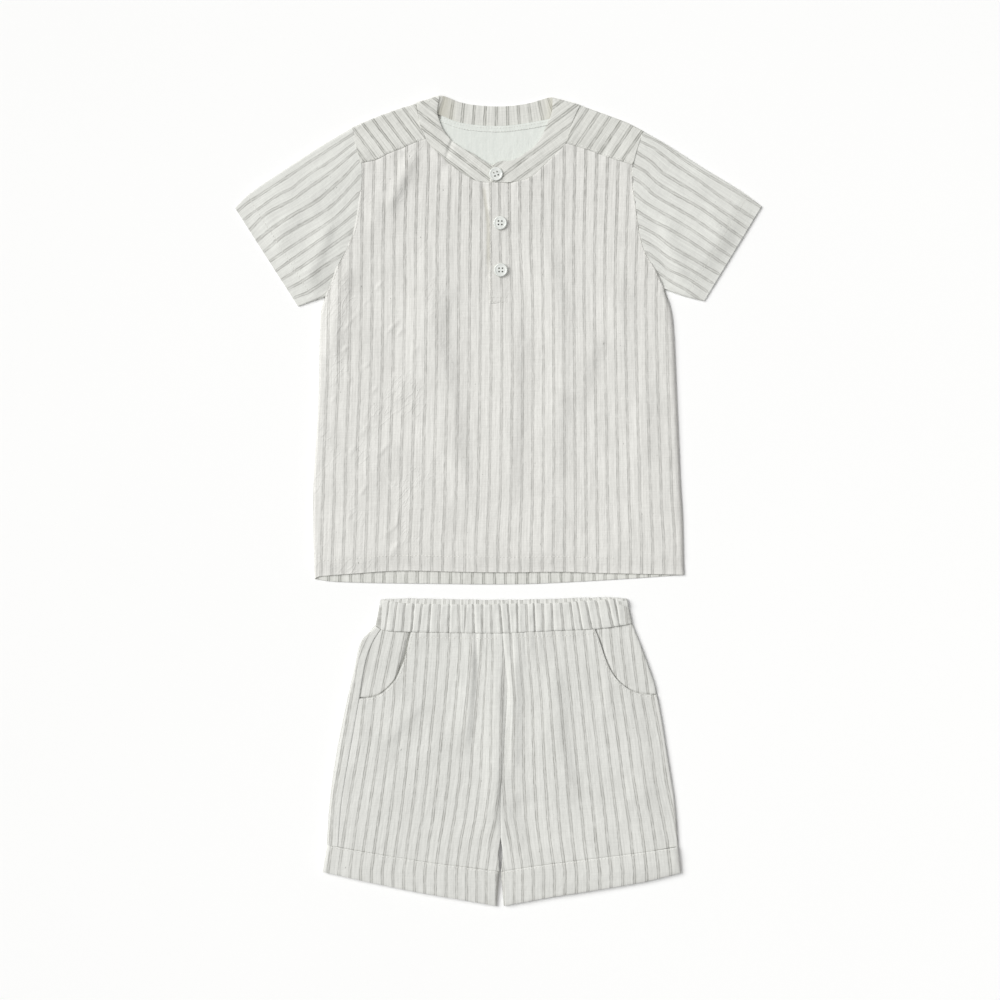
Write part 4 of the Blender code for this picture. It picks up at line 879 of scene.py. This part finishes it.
def makeWaistband():
    p = waistband
    u = np.linspace(0, 1, p["columns"])
    places = strip(waistLine, smoothLine(waistTopFront), p["cell"], u)
    behind = strip(waistLine, smoothLine(waistTopBack), p["cell"], u)
    v = np.linspace(0, 1, len(places))[:, None] * np.ones((1, p["columns"]))
    number, bulge, deep = gatherAt(places[..., 0], v, p["creases"])
    ends = fromEnds(places)
    rise = rounding(ends, 1.8)
    edge = np.linalg.norm(places - places[-1:], axis=-1)
    foots = np.linalg.norm(places - places[:1], axis=-1)
    height = p["rise"] + p["endLoft"] * ease(ends / 18) + p["bulge"] * bulge - p["creaseDepth"] * deep
    height += waves(places * [1, 0.35], p["waves"])
    height -= p["topDip"] * bump(edge, 0.8) + p["footDip"] * bump(foots, 0.7)
    places = places + np.stack([0 * edge, p["scallop"] * (bulge - 0.4) * bump(edge, 4)], axis=-1)
    upper = withHeight(places, p["edgeHeight"] + rise * height)
    down = np.linalg.norm(behind - behind[-1:], axis=-1)
    # the back's upper edge shows above the front's
    frill = rise * (1.2 + 1.2 * ease(down / 4) + 0.6 * bulge) * ease((11 - down) / 6)
    backBulge = gatherAt(behind[..., 0] + 4.5, v, p["creases"])[1]
    behind = behind + np.stack([0 * edge, p["backScallop"] * (backBulge - 0.4) * bump(down, 3)], axis=-1)
    lower = withHeight(behind, p["edgeHeight"] - 1.6 * rounding(ends, 3) + frill)
    front, back = clothUv(number + 0.12, places[..., 1]), clothUv(number + 0.62, places[..., 1])
    uv = np.concatenate([front, back[:, -2:0:-1], back[:, :1]], axis=1)
    made = clothSheet("waistbandCloth", aroundTube(upper, lower), uv, p["wall"], shortsCloth, closed=True)
    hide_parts("waistband")


leg = {
    "wall": 0.55, "cell": 1.9, "edgeHeight": {"Left": 3.7, "Right": 1.0}, "topHeight": 4.3, "edgeReach": 6,
    "turnShare": 0.5, "waves": ((0.4, 30, 51.5), (0.14, 10, 53.5)), "foldDepth": 1.7,
    "folds": [
        ([(-28.5, -217), (-26.5, -187), (-24.5, -153), (-23, -114)], 1.2, 14, 4),
        ([(-4.5, -297), (-4.5, -272), (-2.5, -248), (0, -204), (0, -153), (-0.5, -116)], 1.1, 12, 4),
        ([(9.5, -240), (12, -204), (12, -170), (10.5, -118)], 1.0, 3.5, 6),
        ([(62.5, -262), (57, -233), (51, -204), (47.5, -170), (42, -136)], 1.1, 20, 7),
        ([(-100, -206), (-80, -187), (-64, -168)], 0.7, 12, 6),
        ([(-122, -230), (-119, -204), (-114.5, -172)], 0.3, 8, 6),
        ([(-78, -232), (-60, -215), (-44, -200)], 0.4, 10, 8),
        ([(31.5, -302), (24, -272), (18, -248)], -0.9, 12, 16),
        ([(93, -190), (92, -150)], 0.5, 10, 6),
        ([(100, -262), (118, -250), (132, -238)], 0.4, 9, 9),
    ],
    "gatherDepth": 0.8,
    # gathers below the waist seam: x at the seam, x at its foot, length and depth
    "gathers": [
        (-68, -69.5, 8, 0.5), (-59.5, -61, 11, 0.5), (-50.5, -52.5, 9, 0.4), (-42.5, -44, 13, 0.6),
        (-32.5, -34, 12, 0.6), (-24.5, -24, 15, 0.6), (-19.5, -18.5, 55, 1.3), (-13, -13, 16, 0.6),
        (-5.5, -6, 22, 0.7), (10, 16, 95, 1.2), (16, 18, 20, 0.7), (21.5, 24.5, 42, 0.8),
        (30.5, 31.5, 28, 0.9), (35.5, 40, 24, 0.6), (46, 47.5, 16, 0.6), (54.5, 56, 14, 0.5),
        (64, 65.5, 13, 0.5), (73, 75, 12, 0.5),
    ],
}
legBack = {"wall": 0.55, "cell": 3.2, "height": 0.75, "waves": (0.1, 30, 61.5), "turnHeight": 1.1,
           "overlap": 0.4, "overLoft": 2.4, "overTurn": 0.92}


def legGathers(places):
    total = np.zeros(places.shape[:-1])
    down = np.maximum(-112 - places[..., 1], 0)
    for top, foot, length, depth in leg["gathers"]:
        aside = places[..., 0] - top - (foot - top) * np.clip(down / length, 0, 1)
        section = 0.35 * bump(np.abs(aside) - 4, 3) - 0.75 * bump(aside, 1.1)
        total += ease(1 - down / length) * depth * section
    return total


def makeShortsLegs():
    for side, node, pocket, outside, inseam, cuff, table, first, last in (
            ("Left", "shorts_front_left", pocketLeft, sideSeamLeft, inseamLeft,
             [sideSeamLeft[-1]] + cuffTopLeft[1:], leftLegStripes, -74.5, 3),
            ("Right", "shorts_front_right", pocketRight, outsideRight, inseamRight,
             cuffTopRight, rightLegStripes, 3, 81.5)):
        below = [pocket[-1]] + [p for p in outside if p[1] < pocket[-1][1] - 4]
        outer, inner = joined(pocket, below)[::-1], joined(centreSeam, inseam)[::-1]
        sides = (outer, inner) if side == "Left" else (inner, outer)
        seam = waistLine[(waistLine[:, 0] > first) & (waistLine[:, 0] < last)]
        top = np.vstack([sides[0][-1], seam, sides[1][-1]])
        foot = smoothLine(cuff)
        places = patch(foot, top, *sides, leg["cell"])
        far = distance(smoothLine(below if side == "Left" else outsideRight), places)
        height, rise = puffed(places, far, leg, leg["edgeHeight"][side])
        height += rise * leg["gatherDepth"] * legGathers(places) - seamDip(places, waistLine, inner, foot)
        opening = distance(smoothLine(pocket), places)
        height -= 0.2 * bump(opening, 0.7) + 0.12 * bump(opening - 1.6, 0.6)
        made = clothSheet("shortsFront" + side, withHeight(places, height), stripedUv(places, table),
                          leg["wall"], shortsCloth)
        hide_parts(node)


def makeShortsBacks():
    p = legBack
    inner = joined(centreSeam, inseamRight)[::-1]
    top = np.vstack([inner[-1], waistLine[waistLine[:, 0] > 3.5]])
    places = patch(smoothLine(cuffTopRight), top, inner, smoothLine(outsideRight)[::-1], p["cell"])
    height = p["height"] + waves(places, p["waves"])
    made = clothSheet("shortsBackRight", withHeight(places, height), stripedUv(places, rightLegStripes),
                      p["wall"], shortsCloth)
    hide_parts("shorts_back_right")
    inner = joined(centreSeam, inseamLeft)[::-1]
    top = np.vstack([waistLine[waistLine[:, 0] < 2.5], inner[-1]])
    places = patch(smoothLine(cuffTopLeft), top, smoothLine(outsideLeft)[::-1], inner, p["cell"])
    down = (places[:, 0, 1] - places[0, 0, 1]) / (places[-1, 0, 1] - places[0, 0, 1])
    # it comes round the edge to the side seam
    gap = pick(smoothLine(sideSeamLeft)[::-1], down) - places[:, 0]
    width = np.linalg.norm(gap, axis=1)
    far = (width + p["overlap"])[:, None] * np.linspace(1, 0, 9)[None, :-1]
    over = places[:, :1] + (gap / width[:, None])[:, None] * far[..., None]
    overHeight = p["turnHeight"] + p["overLoft"] * sideRise(far, p["overTurn"])
    lower = p["turnHeight"] - 0.35 * rounding(np.linalg.norm(places - places[:, :1], axis=-1), 3)
    points = np.concatenate([withHeight(over, overHeight), withHeight(places, lower)], axis=1)
    uv = stripedUv(points[..., :2], leftLegStripes)
    uv[:, :far.shape[1], 0] = -13.3 - (width[:, None] - far) / stripePitch
    made = clothSheet("shortsBackLeft", points, uv, p["wall"], shortsCloth)
    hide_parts("shorts_back_left")


pocketCloth = {
    "wall": 0.5, "cell": 0.8, "edgeHeight": {"Left": 3.5, "Right": 1.1}, "topHeight": 3.6, "edgeReach": 5,
    "turnShare": 0.7, "waves": ((0.35, 14, 71.5),), "foldDepth": 0, "folds": [],
    "tucks": (6, 6, 6, 6, 5, 3, 1, -0.2),    # how far it goes under the front at each point of the opening
    "mouthDepth": 1.5, "gapeDepth": {"Left": 1.2, "Right": 0.4},    # the opening gapes in its upper part
}


def makePockets():
    for side, node, pocket, outside in (("Left", "pocket_left", pocketLeft, sideSeamLeft),
                                        ("Right", "pocket_right", pocketRight, outsideRight)):
        p, onLeft = pocketCloth, side == "Left"
        tucks = np.array(p["tucks"]) * (-1 if onLeft else 1)
        edge = shifted(np.array(pocket, float), tucks[:, None])
        outer = smoothLine([q for q in outside if q[1] > edge[-1][1] + 3] + [tuple(edge[-1])])[::-1]
        inner, foot = smoothLine(edge[:5])[::-1], smoothLine(edge[4:])
        sides = (outer, inner) if onLeft else (inner, outer)
        first, last = sides[0][-1], sides[1][-1]
        top = waistLine[(waistLine[:, 0] > first[0] + 0.5) & (waistLine[:, 0] < last[0] - 0.5)]
        places = patch(foot[::-1] if onLeft else foot, np.vstack([first, top, last]), *sides, p["cell"])
        height = puffed(places, distance(outer, places), p, p["edgeHeight"][side])[0]
        gape = ease((places[..., 1] + 152) / 14)
        mouth = bump(distance(smoothLine(pocket), places), 0.75 + 0.8 * gape)
        height -= (p["mouthDepth"] + p["gapeDepth"][side] * gape) * mouth
        height -= seamDip(places, waistLine, depth=0.2)
        uv = slanted(places, 78.5, stripePitch, 0.05) if onLeft else stripedUv(places, rightLegStripes, 0.4)
        made = clothSheet("pocketCloth" + side, withHeight(places, height), uv, p["wall"], shortsCloth)
        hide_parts(node)


cuffs = {
    "wall": 1.4, "cell": 1.6, "edgeHeight": 1.9, "rise": 2.6, "endLoft": 0.4, "waves": (0.35, 22, 81.5),
    "topDip": 0.5, "footDip": 0.5, "footPress": 0.9,
}


def makeCuffs():
    p = cuffs
    for name, node, top, bottom, table in (
            ("cuffLeft", "cuff_left", cuffTopLeft, cuffBottomLeft, leftLegStripes),
            ("cuffRight", "cuff_right", cuffTopRight, cuffBottomRight, rightLegStripes)):
        upper, lower = smoothLine(top), smoothLine(bottom)
        places = strip(lower, upper, p["cell"])
        ends, foot = fromEnds(places), distance(lower, places)
        rise = rounding(ends, 3)
        height = p["rise"] + waves(places, p["waves"]) - p["footPress"] * ease(1 - foot / 14)
        height -= p["topDip"] * bump(distance(upper, places), 0.9) + p["footDip"] * bump(foot, 1.2)
        height = p["edgeHeight"] + rise * height + p["endLoft"] * ease(ends / 25)
        under = p["edgeHeight"] - 1.7 * rise + 0.4 * bump(foot, 1.2)
        uv = stripedUv(places, table)
        points = aroundTube(withHeight(places, height), withHeight(places, under))
        made = clothSheet(name, points, aroundTube(uv, uv), p["wall"], shortsCloth, closed=True)
        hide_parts(node)


stitch = {"pitch": 3.1, "length": 2.1, "thick": 0.52}
tapeStitch = {"pitch": 2.4, "length": 1.7}
placketStitch = {"thick": 0.4}


def shifted(line, aside):  # a line moved to its right, or to its left where minus
    step = np.gradient(line, axis=0)
    step /= np.maximum(np.linalg.norm(step, axis=1), 1e-9)[:, None]
    return line + aside * np.stack([step[:, 1], -step[:, 0]], axis=1)


def sew(bm, piece, line, **change):  # a row of stitches that lie in the cloth of a piece
    pitch, length, thick = {**stitch, **change}.values()
    cloth = bpy.data.objects[piece].data
    tree = BVHTree.FromPolygons([v.co for v in cloth.vertices], [p.vertices for p in cloth.polygons])
    run = runOf(line)[-1]
    count = int(run / pitch)
    starts = (np.arange(count) + 0.2) / count
    for ends in zip(pick(line, starts), pick(line, starts + length / run)):
        hits = [tree.ray_cast(Vector((x * mm, y * mm, 0.05)), Vector((0, 0, -1)))[0] for x, y in ends]
        if None in hits:
            continue
        along = hits[1] - hits[0]
        turn = along.to_track_quat("X", "Z").to_matrix().to_4x4()
        size = Matrix.Diagonal((along.length / 2, thick / 2 * mm, thick / 2 * mm, 1))
        middle = Matrix.Translation((hits[0] + hits[1]) / 2 + Vector((0, 0, 0.00006)))
        bmesh.ops.create_icosphere(bm, subdivisions=1, radius=1, matrix=middle @ turn @ size)


def finishSewing(name, bm):
    layer = bm.loops.layers.uv.new("cloth")
    for face in bm.faces:
        for loop in face.loops:
            loop[layer].uv = loop.vert.co.xy / mm / stripePitch
    finishMesh(name, bm, sewingThread)


def sewShirt():
    bm = bmesh.new()
    for piece, line, aside in (("shirtFront", hemLine[8:-8], -13), ("yokeLeft", yokeLineLeft, -1.4),
                               ("yokeRight", yokeLineRight, -1.4), ("shirtFront", armLeft[22:], -1.3),
                               ("shirtFront", armRight[22:], 1.3)):
        sew(bm, piece, shifted(line, aside))
    for piece, top, under in (("sleeveLeft", sleeveTopLeft, sleeveUnderLeft),
                              ("sleeveRight", sleeveTopRight, sleeveUnderRight)):
        first, last = np.array(top[-1], float), np.array(under[-1], float)
        inward = (np.array(top[-2]) - first) / np.linalg.norm(np.array(top[-2]) - first)
        across = (last - first) / np.linalg.norm(last - first)
        start = first + sleeve["hemDepth"] * inward
        sew(bm, piece, np.linspace(start + 2 * across, start + last - first - 3 * across, 20))
    for rows in (bandRight, bandLeft):
        band = smoothLine(rows)
        share = 1.3 / np.linalg.norm(band[:, 2:] - band[:, :2], axis=1)[:, None]
        sew(bm, "collarBand", band[:, :2] + (band[:, 2:] - band[:, :2]) * share)
        sew(bm, "collarBand", band[:, 2:] + (band[:, :2] - band[:, 2:]) * share)
    tape = smoothLine([(-48, 325.2)] + neckTape["line"][1:-1] + [(45, 323.4)])
    for aside in (0.4, 3.4):
        sew(bm, "neckTape", shifted(tape, aside), **tapeStitch)
    for line in (((-6.9, 268), (-6.9, 168)), ((7.9, 268), (7.9, 168)), ((-6.9, 168.2), (7.9, 168.2)),
                 ((-6.9, 172.6), (7.9, 172.6))):
        sew(bm, "placketStrip", np.linspace(*line, 20), **placketStitch)
    finishSewing("shirtStitching", bm)


def sewShorts():
    bm = bmesh.new()
    below = shifted(waistLine, 4.3)
    sew(bm, "shortsFrontLeft", below[(below[:, 0] > -70) & (below[:, 0] < 2)])
    sew(bm, "shortsFrontRight", below[(below[:, 0] > 6) & (below[:, 0] < 80)])
    for piece, line, aside in (("shortsFrontLeft", pocketLeft, -1.6), ("shortsFrontRight", pocketRight, 1.6),
                               ("shortsBackLeft", sideSeamLeft, 1.1), ("cuffLeft", cuffTopLeft, 1.3),
                               ("cuffRight", cuffTopRight, 1.3)):
        sew(bm, piece, shifted(smoothLine(line), aside))
    finishSewing("shortsStitching", bm)


button = {
    "places": ((-2.5, 277, 20, 5.2), (1, 235.5, 0, 4.85), (1.5, 195.5, 0, 4.85)),    # x, y, turn, seat height
    # half its section, from the middle of its top: radius and height above its foot
    "section": ((0, 1.4), (2.4, 1.38), (3.7, 1.33), (4.15, 1.36), (4.5, 1.5), (4.8, 1.6), (5.15, 1.6),
                (5.5, 1.5), (5.74, 1.25), (5.8, 0.95), (5.72, 0.6), (5.4, 0.35), (4.6, 0.12), (3.2, 0),
                (0, 0)),
    "sides": 48, "holeRadius": 0.72, "holeAside": 1.45, "shankRadius": 2.5, "shankHeight": 0.7,
    "dark": "DDE0DB", "light": "ECEEE9",
}


def resinMaterial():  # slightly clouded white button resin, polished: glossy, with soft edges to its shine
    made = bpy.data.materials.new("polished_white_resin")
    made.use_nodes = True
    tree = made.node_tree
    shader = tree.nodes["Principled BSDF"]
    where = addNode(tree, "ShaderNodeTexCoord").outputs["Object"]
    cloud = ramp(tree, noiseAt(tree, where, 260.0, 3.0, 0.6), 0.35, 0.7)
    colour = mixColour(tree, cloud, srgb(button["dark"]), srgb(button["light"]))
    tree.links.new(colour, shader.inputs["Base Color"])
    rough = maths(tree, "MULTIPLY_ADD", noiseAt(tree, where, 900.0, 2.0), 0.12, 0.2)
    tree.links.new(rough, shader.inputs["Roughness"])
    shader.inputs["Coat Weight"].default_value = 0.35
    shader.inputs["Coat Roughness"].default_value = 0.12
    shader.inputs["Subsurface Weight"].default_value = 0.1
    shader.inputs["Subsurface Radius"].default_value = (0.0012, 0.0012, 0.0011)
    return made


def makeButtons():
    p, resin = button, resinMaterial()
    for number, (x, y, turn, seat) in enumerate(p["places"], 1):
        bm = bmesh.new()
        verts = [bm.verts.new((r * mm, 0, z * mm)) for r, z in p["section"]]
        edges = [bm.edges.new(pair) for pair in zip(verts, verts[1:])]
        bmesh.ops.spin(bm, geom=verts + edges, cent=(0, 0, 0), axis=(0, 0, 1), angle=2 * math.pi,
                       steps=p["sides"], use_merge=True)
        bmesh.ops.remove_doubles(bm, verts=bm.verts, dist=0.000001)
        bmesh.ops.recalc_face_normals(bm, faces=bm.faces)
        place = Matrix.Translation(Vector((x, y, seat)) * mm) @ Matrix.Rotation(math.radians(turn), 4, "Z")
        bmesh.ops.transform(bm, matrix=place, verts=bm.verts)
        made = finishMesh(f"shirtButton{number}", bm, resin)
        cutHoles(made, place)
        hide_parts(f"button_{number}")
        # the shank of thread under the button: real thread, painted grey as painted shade that darkens the
        # holes
        bm = bmesh.new()
        bmesh.ops.create_cone(bm, cap_ends=True, segments=24, radius1=p["shankRadius"] * mm,
                              radius2=p["shankRadius"] * mm, depth=p["shankHeight"] * mm,
                              matrix=Matrix.Translation(Vector((x, y, seat - 0.25)) * mm))
        finishMesh(f"buttonShank{number}", bm, shankThreadHoleShade)


def cutHoles(made, place):
    bm = bmesh.new()
    aside, radius = button["holeAside"], button["holeRadius"] * mm
    for dx, dy in ((aside, aside), (-aside, aside), (-aside, -aside), (aside, -aside)):
        shift = place @ Matrix.Translation(Vector((dx, dy, 1)) * mm)
        bmesh.ops.create_cone(bm, cap_ends=True, segments=20, radius1=radius, radius2=radius, depth=6 * mm,
                              matrix=shift)
    mesh = bpy.data.meshes.new("holes")
    bm.to_mesh(mesh)
    bm.free()
    cutter = bpy.data.objects.new("holes", mesh)
    bpy.context.scene.collection.objects.link(cutter)
    cut = made.modifiers.new("holes", "BOOLEAN")
    cut.operation = "DIFFERENCE"
    cut.object = cutter
    bpy.context.view_layer.update()
    ready = bpy.data.meshes.new_from_object(made.evaluated_get(bpy.context.evaluated_depsgraph_get()))
    made.modifiers.clear()
    made.data = ready
    ready.shade_smooth()
    ready.set_sharp_from_angle(angle=math.radians(40))
    bpy.data.objects.remove(cutter)


studio = {
    "floorTones": ("FDFDFC", "FFFFFE"), "floorSize": 30, "keyEnergy": 2.75, "keyAngle": 44,
    "keySpot": (-2.6, 1.2, 2.6),    # soft light from the upper left, alike over the whole set
    "topEnergy": 17, "topSize": 2.6, "topSpot": (0.2, -0.1, 2.8), "roomLight": 0.24,
    "lens": 85, "cameraSpot": (0.00085, 0.0002, 2.010),
}


def makeStage():
    floorPaint = bpy.data.materials.new("pale_floor_paint")     # matt near-white floor
    floorPaint.use_nodes = True
    tree = floorPaint.node_tree
    shader = tree.nodes["Principled BSDF"]
    where = addNode(tree, "ShaderNodeTexCoord").outputs["Object"]
    tone = mixColour(tree, noiseAt(tree, where, 3.0), *(srgb(text) for text in studio["floorTones"]))
    tree.links.new(tone, shader.inputs["Base Color"])
    shader.inputs["Roughness"].default_value = 0.9
    bm = bmesh.new()
    bmesh.ops.create_grid(bm, x_segments=4, y_segments=4, size=studio["floorSize"])
    mesh = bpy.data.meshes.new("floor")
    bm.to_mesh(mesh)
    bm.free()
    floor = bpy.data.objects.new("floor", mesh)
    mesh.materials.append(floorPaint)
    floor.location.z = -0.0002
    bpy.context.scene.collection.objects.link(floor)
    key = bpy.data.lights.new("keyLight", "SUN")
    key.energy = studio["keyEnergy"]
    key.angle = math.radians(studio["keyAngle"])
    fill = bpy.data.lights.new("topLight", "AREA")
    fill.shape = "SQUARE"
    fill.size = studio["topSize"]
    fill.energy = studio["topEnergy"]
    for lamp, spot in ((key, studio["keySpot"]), (fill, studio["topSpot"])):
        light = bpy.data.objects.new(lamp.name, lamp)
        light.location = spot
        light.rotation_mode = "QUATERNION"
        light.rotation_quaternion = Vector(spot).to_track_quat("Z", "Y")
        bpy.context.scene.collection.objects.link(light)
    world = bpy.data.worlds.new("studio")
    world.use_nodes = True
    world.node_tree.nodes["Background"].inputs[0].default_value = srgb("FFFFFF")
    world.node_tree.nodes["Background"].inputs[1].default_value = studio["roomLight"]
    bpy.context.scene.world = world
    lens = bpy.data.cameras.new("photoCamera")
    lens.lens = studio["lens"]
    lens.sensor_width = 36
    camera = bpy.data.objects.new("photoCamera", lens)
    camera.location = studio["cameraSpot"]
    bpy.context.scene.collection.objects.link(camera)
    bpy.context.scene.camera = camera
    bpy.context.scene.view_settings.view_transform = "Standard"


print("stage and camera")
makeStage()
print("shirt body")
makeShirtBody()
print("yokes and sleeves")
makeYokes()
makeSleeves()
print("collar and neck")
makeNeckPieces()
makeCollar()
print("placket and buttons")
makePlacket()
makeButtons()
print("waistband")
makeWaistband()
print("shorts")
makeShortsLegs()
makeShortsBacks()
makePockets()
makeCuffs()
print("stitching")
sewShirt()
sewShorts()
